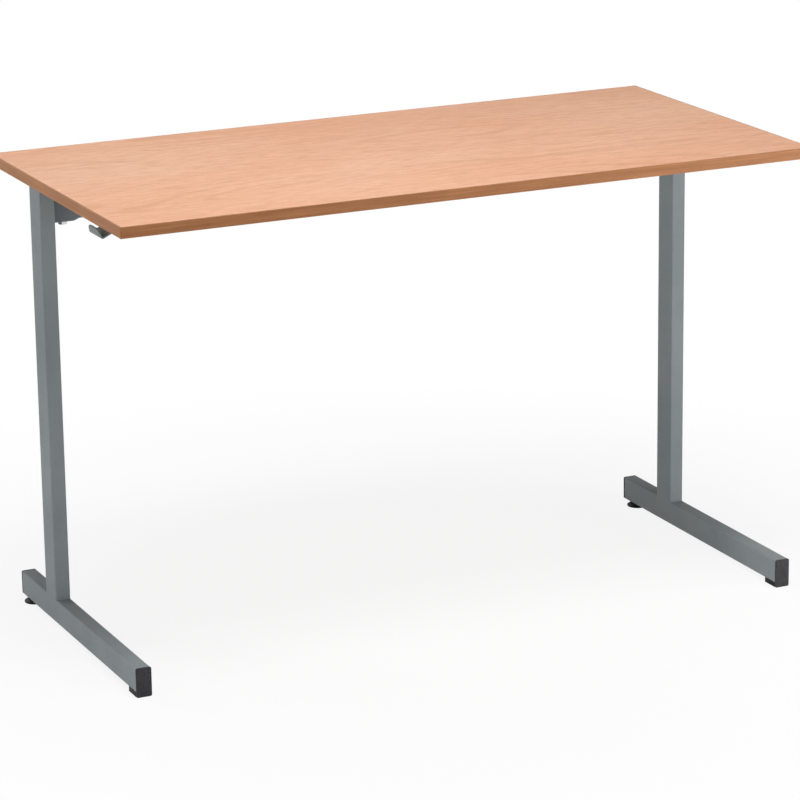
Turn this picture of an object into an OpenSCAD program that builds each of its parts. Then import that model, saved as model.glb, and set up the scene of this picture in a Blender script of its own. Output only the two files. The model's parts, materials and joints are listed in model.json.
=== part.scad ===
// Double school desk: a laminated two-seat top on a pair of cantilever side frames.
// Millimetres, +Z up. The origin lies on the floor under the middle of the top.
// The pupils sit on the -Y side; the uprights stand towards the back.

/* [Top] */
// Length of the top, end to end
desk_l = 1200; // [1000:10:1600]
// Depth of the top, front to back
desk_d = 600; // [560:5:750]
// Height of the working surface above the floor
desk_h = 760; // [590:10:820]
// Full thickness of the top
top_t = 18; // [16:0.5:28]
// Thickness of the decorative laminate and of the backing laminate
laminate_t = 0.8; // [0.5:0.1:1.2]
// Thickness of the edge bands
band_t = 2; // [1.5:0.1:3]
// Radius along the top and bottom arrises of the bands
arris_r = 1.2; // [0.5:0.1:1.4]

/* [Side frames] */
// Width of the upright, arm and foot joint, across the desk
leg_w = 25; // [20:1:35]
// Depth of the upright tube, front to back
upright_d = 50; // [40:1:60]
// Height of the foot tube
foot_h = 40; // [30:1:50]
// Length of the foot tube
foot_l = 530; // [480:2:560]
// Wall of the square tubes
wall = 1.5; // [1.2:0.1:2.5]
// Outside corner radius of the square tubes
tube_r = 2.5; // [2:0.1:3.5]
// Overhang of the top beyond the upright's outer face
end_overhang = 12; // [4:1:30]
// Front face of the upright behind the middle of the top
upright_y = 97; // [60:1:130]
// Leg length of the fillet welds
weld_leg = 2.5; // [2:0.5:5]

/* [Support arms] */
// Width of the arm tube under the top
arm_w = 40; // [30:1:50]
// Height of the arm tube
arm_h = 20; // [15:1:30]
// Length of the arm tube
arm_l = 430; // [400:5:540]
// Number of fixing screws in each arm
arm_screws = 4; // [3:1:5]
// Distance of the end screws from the arm's ends
arm_screw_inset = 25; // [20:1:40]

/* [Cross rail] */
// Width of the rail tube, front to back
rail_w = 30; // [20:1:40]
// Height of the rail tube
rail_h = 40; // [30:1:50]
// Gap between each end of the rail and its upright
rail_end_gap = 1; // [0.5:0.1:3]
// Sheet thickness of the folded rail bracket
bracket_t = 3; // [2:0.5:4]
// Length of the bracket's floor
bracket_floor_l = 34; // [30:1:50]
// Length of the bracket's cheeks at their top edge
bracket_cheek_l = 60; // [52:1:80]
// Rise of the sloping lower edge of the cheeks
bracket_rise = 13; // [6:1:20]
// Distance of the rail bolt from the upright
bolt_x = 21; // [17:0.5:26]

/* [Feet] */
// Gap between the foot tube and the floor
pad_h = 8; // [6:0.5:12]
// Length of the front shoe's pad under the tube
pad_l = 36; // [20:1:45]
// Thickness of the front shoe's end plate
shoe_plate_t = 3; // [2:0.5:5]
// How far the front shoe stands proud of the tube all round
shoe_proud = 0.5; // [0.2:0.1:1.5]
// Depth of the plugs inside the tubes
plug_l = 14; // [10:1:30]
// Thickness of the cap plates on the arms and the uprights
cap_t = 2; // [1.5:0.5:4]
// Thickness of the rear cap's head behind the tube
rear_cap_t = 5; // [2:0.5:8]
// Rounding of the outer edges of the shoe's plate and the rear cap's head
moulded_edge_r = 1.2; // [0.5:0.1:1.8]
// Diameter of the levelling glide's base
glide_d = 36; // [30:1:42]
// Distance of the glide's centre from the foot tube's rear end
glide_inset = 24; // [20:1:60]
// How far the glide screws out
glide_travel = 10; // [5:1:14]
// Length of the glide's stud above its base
stud_l = 30; // [26:1:34]

/* [Bag hooks] */
// Width of the hook strip
hook_w = 50; // [40:1:60]
// Thickness of the hook strip
hook_t = 2.5; // [2:0.5:4]
// Gap between the arm's front screw head and the hook
hook_gap = 20.5; // [5:0.5:25]
// Slope of the hook's falling leg in degrees
hook_slope = 25; // [15:1:35]
// Straight length of the falling leg
hook_leg = 17; // [10:1:20]
// Inside radius of the hook's lower fold
hook_bend_r = 1.5; // [1:0.5:4]
// Outward lean of the upturned tip in degrees
hook_lean = 17; // [0:1:30]
// Straight length of the upturned tip
hook_tip = 12.5; // [8:0.5:16]
// Radius of the tip's two corners
hook_tip_r = 12.5; // [6:0.5:20]

/* [Fasteners] */
// Diameter of the metric bolts and studs
metric_d = 8; // [6:1:8]
// Across flats of the hexagon heads and nuts
hex_af = 13; // [13:1:15]
// Height of the hexagon head
hex_head_h = 5.3; // [4:0.1:6]
// Height of the hexagon nuts
hex_nut_h = 6.5; // [5:0.1:7]
// Length of the rail bolt under its head
rail_bolt_l = 18; // [16:1:22]
// Outside diameter of the plain washer
washer_d = 17; // [15:1:19]
// Thickness of the plain washer
washer_t = 1.6; // [1:0.1:2]
// Shank diameter of the wood screws
screw_d = 4.5; // [4:0.1:5]
// Diameter of the wood screw heads
screw_head_d = 9; // [8:0.5:11]
// Height of the wood screw heads
screw_head_h = 3; // [2:0.1:3.5]
// How far a wood screw enters the top
screw_bite = 13; // [10:0.5:14]
// Shank diameter of the hook screws
hook_screw_d = 4; // [3:0.1:4.5]

/* [Clearances] */
// Running clearance round metric studs and bolts, on the diameter
thread_clear = 0.16; // [0.04:0.02:0.2]
// Clearance of holes that bolts and screws pass through, on the diameter
pass_clear = 1; // [0.5:0.1:1.5]
// Clearance of a plug in its tube, on each side
plug_clear = 0.2; // [0.1:0.05:0.4]
// Clearance between the rail and the bracket's cheeks, on each side
rail_clear = 0.25; // [0.1:0.05:0.5]
// Gap between the screwed-in glide and the tube above it
glide_gap = 0.3; // [0.2:0.1:0.6]
// Clearance round the stud where it is moulded into the base, on the radius
moulded_clear = 0.05; // [0.02:0.01:0.1]

/* [Hidden] */
$fn = 48;
eps = 0.01;

// Heights from the floor upward
foot_top_z = pad_h + foot_h;
under_z = desk_h - top_t;
arm_z = under_z - arm_h;
rail_z = arm_z - rail_h;
bracket_z = rail_z - bracket_t;

// Places across the desk, on the left side
leg_out_x = -desk_l / 2 + end_overhang;
leg_in_x = leg_out_x + leg_w;
leg_mid_x = leg_out_x + leg_w / 2;
arm_mid_x = leg_in_x + arm_w / 2;
rail_bolt_x = leg_in_x + bolt_x;

// Places front to back
upright_mid_y = upright_y + upright_d / 2;
foot_end_y = foot_l / 2;
glide_y = foot_end_y - glide_inset;
hook_y = arm_l / 2 - arm_screw_inset - screw_head_d / 2 - hook_gap - hook_w / 2;
rail_l = -2 * leg_in_x - 2 * rail_end_gap;
cheek_gap = rail_w + 2 * rail_clear;

// Cross-sections and hardware
core_t = top_t - 2 * laminate_t;
core_l = desk_l - 2 * band_t;
core_d = desk_d - 2 * band_t;
stud_bore_d = metric_d + thread_clear;
bolt_hole_d = metric_d + pass_clear;
screw_hole_d = screw_d + pass_clear;
pilot_d = screw_d + 0.2;
hook_hole_d = hook_screw_d + 0.2;
hook_screw_head_d = 2 * hook_screw_d;
hook_screw_head_h = 0.6 * hook_screw_d;
hook_base_l = arm_w - 2 * tube_r;
hook_upper_r = hook_t;
head_taper = 1;
pilot_room = 0.5;
cheek_short = 2;
nut_corner_r = hex_af / 2 / cos(30);
rear_plug_l = min(plug_l, glide_inset - nut_corner_r - 1);
plug_wall = 2;
rib_w = 1;
rib_h = 0.75 * plug_clear;
sole_t = 2;
small_weld_leg = 0.6 * weld_leg;
steel_grey = [0.52, 0.54, 0.54];
charcoal = [0.16, 0.16, 0.17];
zinc = [0.72, 0.73, 0.74];
beech = [0.92, 0.72, 0.57];
beech_edge = [0.66, 0.46, 0.31];

// Screw places along an arm, evenly spread between its end screws
function arm_screw_y(i) =
    -arm_l / 2 + arm_screw_inset + i * (arm_l - 2 * arm_screw_inset) / (arm_screws - 1);
// Hook screw places along the arm
function hook_screw_y(i) = -hook_y + (i == 0 ? -1 : 1) * hook_w / 4;

// Draws the left side as it is and the right side as its mirror image
module on_side(side) {
    if (side == "left") children();
    else mirror([1, 0, 0]) children();
}

// A rectangle about the origin with true arcs at its corners
module rounded_rect(w, h, r) {
    square([w, h - 2 * r], center = true);
    square([w - 2 * r, h], center = true);
    for (sx = [-1, 1], sy = [-1, 1])
        translate([sx * (w / 2 - r), sy * (h / 2 - r)]) circle(r);
}

// Cross-section of a rectangular steel tube
module tube_section(w, h) {
    difference() {
        rounded_rect(w, h, tube_r);
        rounded_rect(w - 2 * wall, h - 2 * wall, tube_r - wall);
    }
}

// Extrudes a section drawn in X and Z along +Y
module along_y(length) {
    translate([0, length, 0]) rotate([90, 0, 0]) linear_extrude(length) children();
}

// Extrudes a section drawn in Y and Z along +X
module along_x(length) {
    rotate([90, 0, 90]) linear_extrude(length) children();
}

// A hollow plug with crush ribs, along +Y from the origin, for a tube of w by h
module ribbed_plug(w, h, length) {
    plug_w = w - 2 * wall - 2 * plug_clear;
    plug_h = h - 2 * wall - 2 * plug_clear;
    corner_r = tube_r - wall;
    along_y(length) difference() {
        union() {
            rounded_rect(plug_w, plug_h, corner_r);
            for (s = [-1, 1], t = [-1, 1]) {
                translate([s * plug_w / 4, t * plug_h / 2])
                    square([rib_w, 2 * rib_h], center = true);
                translate([s * plug_w / 2, t * plug_h / 4])
                    square([2 * rib_h, rib_w], center = true);
            }
        }
        square([plug_w - 2 * plug_wall, plug_h - 2 * plug_wall], center = true);
    }
}

// A plate along +Y from the origin, its corners rounded by r and its outer edges by moulded_edge_r
module moulded_plate(w, h, t, r) {
    intersection() {
        along_y(t) rounded_rect(w, h, r);
        translate([0, 0, -h / 2]) linear_extrude(h) rounded_rect(w, 2 * t, moulded_edge_r);
        translate([-w / 2, 0, 0]) along_x(w) rounded_rect(2 * t, h, moulded_edge_r);
    }
}

// Holes for the screws that hold the top, from z up by h
module top_screw_holes(d, z, h) {
    for (side = ["left", "right"]) on_side(side)
        for (i = [0 : arm_screws - 1])
            translate([arm_mid_x, arm_screw_y(i), z]) cylinder(d = d, h = h);
}

// Particle board between the laminates, drilled for the screws
module board_core() {
    color([0.80, 0.68, 0.50]) difference() {
        translate([-core_l / 2, -core_d / 2, under_z + laminate_t]) cube([core_l, core_d, core_t]);
        top_screw_holes(pilot_d, under_z - eps, screw_bite + pilot_room);
    }
}

// Decorative beech laminate on the working side
module top_laminate() {
    color(beech) translate([-core_l / 2, -core_d / 2, desk_h - laminate_t])
        cube([core_l, core_d, laminate_t]);
}

// Balancing laminate on the underside
module backing_laminate() {
    color([0.85, 0.83, 0.78]) difference() {
        translate([-core_l / 2, -core_d / 2, under_z]) cube([core_l, core_d, laminate_t]);
        top_screw_holes(pilot_d, under_z - eps, laminate_t + 2 * eps);
    }
}

// Section of an edge band: inner face at 0, outer arrises rounded
module band_section() {
    intersection() {
        translate([0, top_t / 2]) rounded_rect(2 * band_t, top_t, arris_r);
        square([band_t, top_t]);
    }
}

// Plan outline of the whole top with its small corner radii
module top_outline() {
    rounded_rect(desk_l, desk_d, band_t);
}

// A long band with the corner radii of the top at both ends
module long_band() {
    intersection() {
        translate([-desk_l / 2, core_d / 2, under_z]) along_x(desk_l) band_section();
        translate([0, 0, under_z - eps]) linear_extrude(top_t + 2 * eps) top_outline();
    }
}

// A short band between the two long ones
module short_band() {
    translate([core_l / 2, -core_d / 2, under_z]) along_y(core_d) band_section();
}

module front_edge_band() {
    color(beech_edge) mirror([0, 1, 0]) long_band();
}

module back_edge_band() {
    color(beech_edge) long_band();
}

module end_edge_band(side) {
    color(beech_edge) on_side(side) mirror([1, 0, 0]) short_band();
}

// Tube that stands on the foot and ends just under the top
module upright(side) {
    color(steel_grey) on_side(side)
        translate([leg_mid_x, upright_mid_y, foot_top_z])
            linear_extrude(under_z - cap_t - foot_top_z) tube_section(leg_w, upright_d);
}

// Foot tube along the depth of the desk, drilled for the glide's stud
module foot_tube(side) {
    color(steel_grey) on_side(side) difference() {
        translate([leg_mid_x, -foot_end_y, pad_h + foot_h / 2])
            along_y(foot_l) tube_section(leg_w, foot_h);
        translate([leg_mid_x, glide_y, pad_h - 1])
            cylinder(d = bolt_hole_d, h = wall + 2);
    }
}

// Flat tube under the top, beside the head of the upright
module support_arm(side) {
    color(steel_grey) on_side(side) difference() {
        translate([arm_mid_x, -arm_l / 2, arm_z + arm_h / 2])
            along_y(arm_l) tube_section(arm_w, arm_h);
        for (i = [0 : arm_screws - 1])
            translate([arm_mid_x, arm_screw_y(i), arm_z - 1])
                cylinder(d = screw_hole_d, h = arm_h + 2);
        for (i = [0, 1])
            translate([arm_mid_x, hook_screw_y(i), arm_z - 1])
                cylinder(d = hook_hole_d, h = wall + 2);
    }
}

// Rail that ties the two side frames together, drilled for its bolts
module cross_rail() {
    color(steel_grey) difference() {
        translate([-rail_l / 2, upright_mid_y, rail_z + rail_h / 2])
            along_x(rail_l) tube_section(rail_w, rail_h);
        for (side = ["left", "right"]) on_side(side)
            translate([rail_bolt_x, upright_mid_y, rail_z - 1])
                cylinder(d = bolt_hole_d, h = wall + 2);
    }
}

// Side view of a bracket cheek: straight top, sloping lower edge beyond the floor
module cheek_outline() {
    polygon([
        [0, 0],
        [bracket_floor_l, 0],
        [bracket_cheek_l, bracket_rise],
        [bracket_cheek_l, rail_h - cheek_short],
        [0, rail_h - cheek_short]
    ]);
}

// Folded sheet bracket, a floor and two cheeks with rounded folds
module rail_bracket(side) {
    outer_w = cheek_gap + 2 * bracket_t;
    color(steel_grey) on_side(side)
        translate([leg_in_x, upright_mid_y, bracket_z]) difference() {
            intersection() {
                along_x(bracket_cheek_l) difference() {
                    union() {
                        translate([-outer_w / 2, bracket_t])
                            square([outer_w, rail_h]);
                        translate([-outer_w / 2 + bracket_t, 0])
                            square([outer_w - 2 * bracket_t, bracket_t + eps]);
                        for (s = [-1, 1])
                            translate([s * (outer_w / 2 - bracket_t), bracket_t])
                                circle(bracket_t);
                    }
                    translate([-cheek_gap / 2, bracket_t]) square([cheek_gap, rail_h + 1]);
                }
                translate([0, outer_w / 2 + 1, 0]) rotate([90, 0, 0])
                    linear_extrude(outer_w + 2) cheek_outline();
            }
            translate([bolt_x, 0, -1]) cylinder(d = bolt_hole_d, h = bracket_t + 2);
        }
}

// Quarter-round bead in the corner at the origin, along +Z, towards sx and sy
module weld_bead(leg, length, sx, sy) {
    linear_extrude(length) intersection() {
        circle(leg);
        translate([sx > 0 ? 0 : -leg, sy > 0 ? 0 : -leg]) square(leg);
    }
}

// Beads at the foot, at the arm and at the rail bracket
module frame_welds(side) {
    bead_l = leg_w - 2 * tube_r;
    arm_bead_l = arm_h - 2 * tube_r;
    bracket_face = cheek_gap / 2 + bracket_t;
    color(steel_grey) on_side(side) {
        translate([leg_out_x + tube_r, upright_y, foot_top_z]) rotate([90, 0, 90])
            weld_bead(weld_leg, bead_l, -1, 1);
        translate([leg_out_x + tube_r, upright_y + upright_d, foot_top_z]) rotate([90, 0, 90])
            weld_bead(weld_leg, bead_l, 1, 1);
        translate([leg_in_x, upright_y, arm_z + tube_r]) weld_bead(weld_leg, arm_bead_l, -1, -1);
        translate([leg_in_x, upright_y + upright_d, arm_z + tube_r])
            weld_bead(weld_leg, arm_bead_l, -1, 1);
        for (s = [-1, 1])
            translate([leg_in_x, upright_mid_y + s * bracket_face, bracket_z + bracket_t])
                weld_bead(small_weld_leg, rail_h - bracket_t - cheek_short, 1, s);
    }
}

// A hexagon prism with its flats across Y
module hexagon(af, h) {
    cylinder(d = af / cos(30), h = h, $fn = 6);
}

// Hexagon bolt that enters the rail from below
module rail_bolt(side) {
    head_z = bracket_z - washer_t - hex_head_h;
    color(zinc) on_side(side) translate([rail_bolt_x, upright_mid_y, head_z]) {
        intersection() {
            hexagon(hex_af, hex_head_h);
            cylinder(d1 = hex_af - head_taper / 2, d2 = hex_af + 2 * hex_head_h, h = hex_head_h);
        }
        translate([0, 0, hex_head_h - eps]) cylinder(d = metric_d, h = rail_bolt_l + eps);
    }
}

module rail_washer(side) {
    color(zinc) on_side(side)
        translate([rail_bolt_x, upright_mid_y, bracket_z - washer_t]) difference() {
            cylinder(d = washer_d, h = washer_t);
            translate([0, 0, -1]) cylinder(d = stud_bore_d, h = washer_t + 2);
        }
}

// Hexagon nut with a plain bore, standing on z
module hex_nut(z) {
    translate([0, 0, z]) difference() {
        hexagon(hex_af, hex_nut_h);
        translate([0, 0, -1]) cylinder(d = stud_bore_d, h = hex_nut_h + 2);
    }
}

// Nut welded inside the rail, on its lower wall
module rail_nut(side) {
    color(zinc) on_side(side)
        translate([rail_bolt_x, upright_mid_y, 0]) hex_nut(rail_z + wall);
}

// Cap that closes the head of the upright against the top
module upright_cap(side) {
    color(charcoal) on_side(side) translate([leg_mid_x, upright_mid_y, under_z - cap_t]) {
        linear_extrude(cap_t) rounded_rect(leg_w, upright_d, tube_r);
        rotate([-90, 0, 0]) translate([0, -eps, 0]) ribbed_plug(leg_w, upright_d, plug_l);
    }
}

// Caps in the two open ends of an arm
module arm_caps(side) {
    color(charcoal) on_side(side) for (flip = [0, 1])
        mirror([0, flip, 0]) translate([arm_mid_x, arm_l / 2, arm_z + arm_h / 2]) {
            along_y(cap_t) rounded_rect(arm_w, arm_h, tube_r);
            translate([0, -plug_l, 0]) ribbed_plug(arm_w, arm_h, plug_l + eps);
        }
}

// Moulded shoe: end plate, plug in the tube and wearing pad under it
module front_shoe(side) {
    shoe_w = leg_w + 2 * shoe_proud;
    shoe_h = foot_top_z + shoe_proud;
    shoe_r = tube_r + shoe_proud;
    color(charcoal) on_side(side) translate([leg_mid_x, -foot_end_y, 0]) {
        translate([0, 0, shoe_h / 2]) mirror([0, 1, 0])
            moulded_plate(shoe_w, shoe_h, shoe_plate_t, shoe_r);
        translate([0, -eps, pad_h + foot_h / 2]) ribbed_plug(leg_w, foot_h, plug_l);
        intersection() {
            translate([0, -eps, pad_h / 2]) along_y(pad_l + eps) square([leg_w, pad_h], center = true);
            translate([0, pad_l / 2 - tube_r, 0]) linear_extrude(pad_h)
                rounded_rect(leg_w, pad_l + 2 * tube_r, tube_r);
        }
    }
}

// Cap in the rear end of the foot, its plug ending before the glide's nut
module rear_cap(side) {
    color(charcoal) on_side(side) translate([leg_mid_x, foot_end_y, pad_h + foot_h / 2]) {
        moulded_plate(leg_w, foot_h, rear_cap_t, tube_r);
        translate([0, -rear_plug_l, 0]) ribbed_plug(leg_w, foot_h, rear_plug_l + eps);
    }
}

// Half section of the glide's base: flat sole, round rim and domed shoulder
module glide_profile() {
    top = pad_h - glide_gap;
    outer_r = glide_d / 2;
    rim_r = 1.5;
    rim_z = 2 * rim_r;
    boss_r = metric_d;
    dome_h = top - rim_z;
    dome_r = (pow(outer_r, 2) + pow(dome_h, 2)) / (2 * dome_h);
    difference() {
        union() {
            square([outer_r - rim_r, rim_z]);
            translate([0, rim_r]) square([outer_r, rim_z - rim_r]);
            translate([outer_r - rim_r, rim_r]) circle(rim_r);
            intersection() {
                translate([0, top - dome_r]) circle(dome_r, $fn = 200);
                translate([0, rim_z - eps]) square([outer_r, dome_h + eps]);
            }
            square([boss_r, top]);
        }
        translate([0, sole_t]) square([metric_d / 2 + moulded_clear, pad_h]);
        translate([-glide_d, -glide_d]) square([glide_d, 2 * glide_d + pad_h]);
    }
}

// Moulded base of the levelling glide
module glide_base(side) {
    color(charcoal) on_side(side) translate([leg_mid_x, glide_y, 0])
        rotate_extrude($fn = 96) glide_profile();
}

// Steel stud moulded into the base, screwed into the tube
module glide_stud(side) {
    color(zinc) on_side(side) translate([leg_mid_x, glide_y, sole_t])
        cylinder(d = metric_d, h = stud_l);
}

// Nut welded inside the foot tube for the stud
module glide_nut(side) {
    color(zinc) on_side(side) translate([leg_mid_x, glide_y, 0]) hex_nut(pad_h + wall);
}

// A bend of strip about the origin, inside radius r: cut square at its start and by the turn at its end
module strip_arc(r, turn) {
    reach = 2 * (r + hook_t);
    intersection() {
        difference() {
            circle(r + hook_t);
            circle(r);
        }
        translate([0, -reach]) square([reach, 2 * reach]);
        rotate(turn) translate([-reach, -reach]) square([reach, 2 * reach]);
    }
}

// Straight run of strip; what follows starts at its end
module strip_run(length) {
    square([length, hook_t]);
    translate([length, 0]) children();
}

// Downward bend of strip; what follows starts at its end
module strip_down(r, angle) {
    translate([0, -r]) {
        strip_arc(r, -angle);
        rotate(-angle) translate([0, r]) children();
    }
}

// Upward bend of strip; what follows starts at its end
module strip_up(r, angle) {
    translate([0, r + hook_t]) {
        strip_arc(r, angle);
        rotate(angle) translate([0, -r - hook_t]) children();
    }
}

// Side view of the hook, drawn outward from its inner end
module hook_section() {
    strip_run(hook_base_l)
        strip_down(hook_upper_r, hook_slope)
            strip_run(hook_leg)
                strip_up(hook_bend_r, hook_slope + 90 - hook_lean)
                    strip_run(hook_tip);
}

// Places on the hook's side view, from the outer end of its base and its lower face
hook_base_x = arm_mid_x + hook_base_l / 2;
hook_leg_end = [
    hook_upper_r * sin(hook_slope) + hook_leg * cos(hook_slope),
    -hook_upper_r * (1 - cos(hook_slope)) - hook_leg * sin(hook_slope)
];
hook_fold_mid = hook_leg_end + (hook_bend_r + hook_t) * [sin(hook_slope), cos(hook_slope)];
hook_leg_top = hook_leg_end + hook_t * [sin(hook_slope), cos(hook_slope)];
hook_tip_z = hook_fold_mid[1] - hook_bend_r * sin(hook_lean) + hook_tip * cos(hook_lean);
hook_reach = hook_fold_mid[0] + (hook_bend_r + hook_t) * cos(hook_lean) + hook_tip * sin(hook_lean);

// Strip folded down and up again under the arm, its rounded tip leaning out to the aisle
module bag_hook(side) {
    tip_r = min(hook_tip_r, hook_tip_z - hook_leg_top[1] - 0.2, hook_w / 2 - 1);
    strip_z = arm_z - hook_t;
    base_end_x = hook_base_x - hook_base_l;
    rounded_l = hook_reach - hook_leg_top[0] + 1;
    color(steel_grey) on_side(side) difference() {
        intersection() {
            translate([hook_base_x, -hook_y + hook_w / 2, strip_z])
                rotate([90, 0, 0]) linear_extrude(hook_w) mirror([1, 0]) hook_section();
            union() {
                translate([base_end_x - hook_leg_top[0], -hook_y - hook_w, strip_z - hook_w])
                    cube([hook_base_l + hook_leg_top[0] + 1, 2 * hook_w, 2 * hook_w]);
                translate([base_end_x - hook_reach - 1, -hook_y, strip_z + hook_tip_z - hook_w])
                    rotate([90, 0, 90]) linear_extrude(rounded_l + eps)
                        rounded_rect(hook_w, 2 * hook_w, tip_r);
            }
        }
        for (i = [0, 1])
            translate([arm_mid_x, hook_screw_y(i), strip_z - 1])
                cylinder(d = hook_hole_d, h = hook_t + 2);
    }
}

// Two short screws that hold the hook to the arm
module hook_screws(side) {
    point_d = hook_screw_head_d - 2 * head_taper;
    color(zinc) on_side(side) for (i = [0, 1])
        translate([arm_mid_x, hook_screw_y(i), arm_z - hook_t]) {
            translate([0, 0, -hook_screw_head_h])
                cylinder(d1 = point_d, d2 = hook_screw_head_d, h = hook_screw_head_h);
            cylinder(d = hook_screw_d, h = hook_t + wall + hook_screw_d);
        }
}

// Pan-head wood screws through the arm into the top
module top_screws(side) {
    color(zinc) on_side(side) for (i = [0 : arm_screws - 1])
        translate([arm_mid_x, arm_screw_y(i), arm_z]) {
            translate([0, 0, -screw_head_h])
                cylinder(d1 = screw_head_d - 2 * head_taper, d2 = screw_head_d, h = screw_head_h);
            cylinder(d = screw_d, h = arm_h + screw_bite);
        }
}

board_core();
top_laminate();
backing_laminate();
front_edge_band();
back_edge_band();
end_edge_band("left");  // left_edge_band
end_edge_band("right");  // right_edge_band
upright("left");  // left_upright
upright("right");  // right_upright
foot_tube("left");  // left_foot_tube
foot_tube("right");  // right_foot_tube
support_arm("left");  // left_support_arm
support_arm("right");  // right_support_arm
cross_rail();
rail_bracket("left");  // left_rail_bracket
rail_bracket("right");  // right_rail_bracket
frame_welds("left");  // left_frame_welds
frame_welds("right");  // right_frame_welds
rail_bolt("left");  // left_rail_bolt
rail_bolt("right");  // right_rail_bolt
rail_washer("left");  // left_rail_washer
rail_washer("right");  // right_rail_washer
rail_nut("left");  // left_rail_nut
rail_nut("right");  // right_rail_nut
upright_cap("left");  // left_upright_cap
upright_cap("right");  // right_upright_cap
arm_caps("left");  // left_arm_caps
arm_caps("right");  // right_arm_caps
front_shoe("left");  // left_front_shoe
front_shoe("right");  // right_front_shoe
rear_cap("left");  // left_rear_cap
rear_cap("right");  // right_rear_cap
glide_base("left");  // left_glide_base
glide_base("right");  // right_glide_base
glide_stud("left");  // left_glide_stud
glide_stud("right");  // right_glide_stud
glide_nut("left");  // left_glide_nut
glide_nut("right");  // right_glide_nut
bag_hook("left");  // left_bag_hook
bag_hook("right");  // right_bag_hook
hook_screws("left");  // left_hook_screws
hook_screws("right");  // right_hook_screws
top_screws("left");  // left_top_screws
top_screws("right");  // right_top_screws
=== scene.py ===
"""Looks of a two-seat school desk: a laminated top on two welded side frames.

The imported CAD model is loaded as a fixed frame. Boards and tubes keep their CAD meshes and get
finishes. Welds, brackets, fasteners, caps, glides and bag hooks are modelled here in finer detail.
Lengths are metres, +Z is up, and the pupils sit on the -Y side. What stands on both sides is drawn
for the left one, whose inner side is +X, and mirrored for the right one. Only the rail's bolts,
washers and nuts and the levelling glides are drawn in place on each side.
"""

import json
import logging
import math
import random
from collections.abc import Sequence
from dataclasses import dataclass
from enum import Enum

import bmesh
import bpy
from mathutils import Matrix, Vector

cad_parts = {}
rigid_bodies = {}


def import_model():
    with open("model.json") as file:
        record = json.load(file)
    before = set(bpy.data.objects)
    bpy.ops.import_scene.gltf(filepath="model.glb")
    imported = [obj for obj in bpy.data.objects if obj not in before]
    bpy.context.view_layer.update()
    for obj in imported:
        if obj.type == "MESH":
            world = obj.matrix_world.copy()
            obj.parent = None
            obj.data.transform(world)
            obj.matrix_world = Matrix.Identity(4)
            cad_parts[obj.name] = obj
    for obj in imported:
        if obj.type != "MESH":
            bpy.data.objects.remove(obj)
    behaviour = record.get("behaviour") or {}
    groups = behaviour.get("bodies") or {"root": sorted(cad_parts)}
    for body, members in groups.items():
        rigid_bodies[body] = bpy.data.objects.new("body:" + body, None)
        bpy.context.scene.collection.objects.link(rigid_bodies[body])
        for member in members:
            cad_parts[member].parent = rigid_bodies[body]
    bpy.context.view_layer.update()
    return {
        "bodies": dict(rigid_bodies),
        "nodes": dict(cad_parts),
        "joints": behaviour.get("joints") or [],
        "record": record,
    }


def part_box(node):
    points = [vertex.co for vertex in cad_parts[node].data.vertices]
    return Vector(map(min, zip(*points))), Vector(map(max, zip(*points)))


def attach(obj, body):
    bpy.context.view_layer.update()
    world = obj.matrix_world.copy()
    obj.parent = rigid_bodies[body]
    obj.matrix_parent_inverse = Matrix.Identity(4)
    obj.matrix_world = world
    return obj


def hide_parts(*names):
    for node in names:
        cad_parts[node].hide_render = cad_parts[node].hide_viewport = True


LOG = logging.getLogger("desk")
MM = 0.001
BODY = "desk_frame"
# Most values of a noise pattern lie between these two.
NOISE_LOW = 0.3
NOISE_HIGH = 0.7
INWARD = Vector((1, 0, 0))
BACK = Vector((0, 1, 0))
UP = Vector((0, 0, 1))

Colour = tuple[float, float, float]
Point2 = tuple[float, float]
Point3 = tuple[float, float, float]
Ring = list[Vector]
Material = bpy.types.Material
Socket = bpy.types.NodeSocket
Value = float | Socket


class Side(Enum):
    """The two ends of the desk, as the sign of X."""

    LEFT = -1
    RIGHT = 1

    @property
    def word(self) -> str:
        """The side's name in the names of nodes and pieces."""
        return self.name.lower()


class Grain(Enum):
    """The direction in which the wood figure runs."""

    ALONG_X = "x"
    ALONG_Y = "y"


class Heading(Enum):
    """The direction of a shape's length, as the rows of the matrix that takes +Z into it."""

    UP = ((1, 0, 0), (0, 1, 0), (0, 0, 1))
    DOWN = ((1, 0, 0), (0, -1, 0), (0, 0, -1))
    BACK = ((1, 0, 0), (0, 0, 1), (0, 1, 0))
    FORWARD = ((1, 0, 0), (0, 0, -1), (0, 1, 0))

    @property
    def opposite(self) -> "Heading":
        """The heading that points the other way."""
        others = {"UP": "DOWN", "DOWN": "UP", "BACK": "FORWARD", "FORWARD": "BACK"}
        return Heading[others[self.name]]

    def at(self, origin: Vector) -> Matrix:
        """The matrix that takes a shape's own origin to a point and its length along this heading."""
        return Matrix.Translation(origin) @ Matrix(self.value).to_4x4()


@dataclass(frozen=True)
class Box:
    """The box of a CAD node, in metres."""

    low: Vector
    high: Vector

    @classmethod
    def of(cls, node: str) -> "Box":
        """The box at rest of the CAD node with this name."""
        low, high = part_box(node)
        return cls(low, high)

    @property
    def size(self) -> Vector:
        """The three sides of the box."""
        return self.high - self.low

    def middle(self, **given: float) -> Vector:
        """Finds the middle of the box, or of a face when one coordinate is given.

        Args:
            given: Coordinates that replace the middle's own, such as z=0.1.

        Returns:
            The point.
        """
        point = (self.low + self.high) / 2
        for axis, coordinate in given.items():
            setattr(point, axis, coordinate)
        return point


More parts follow.
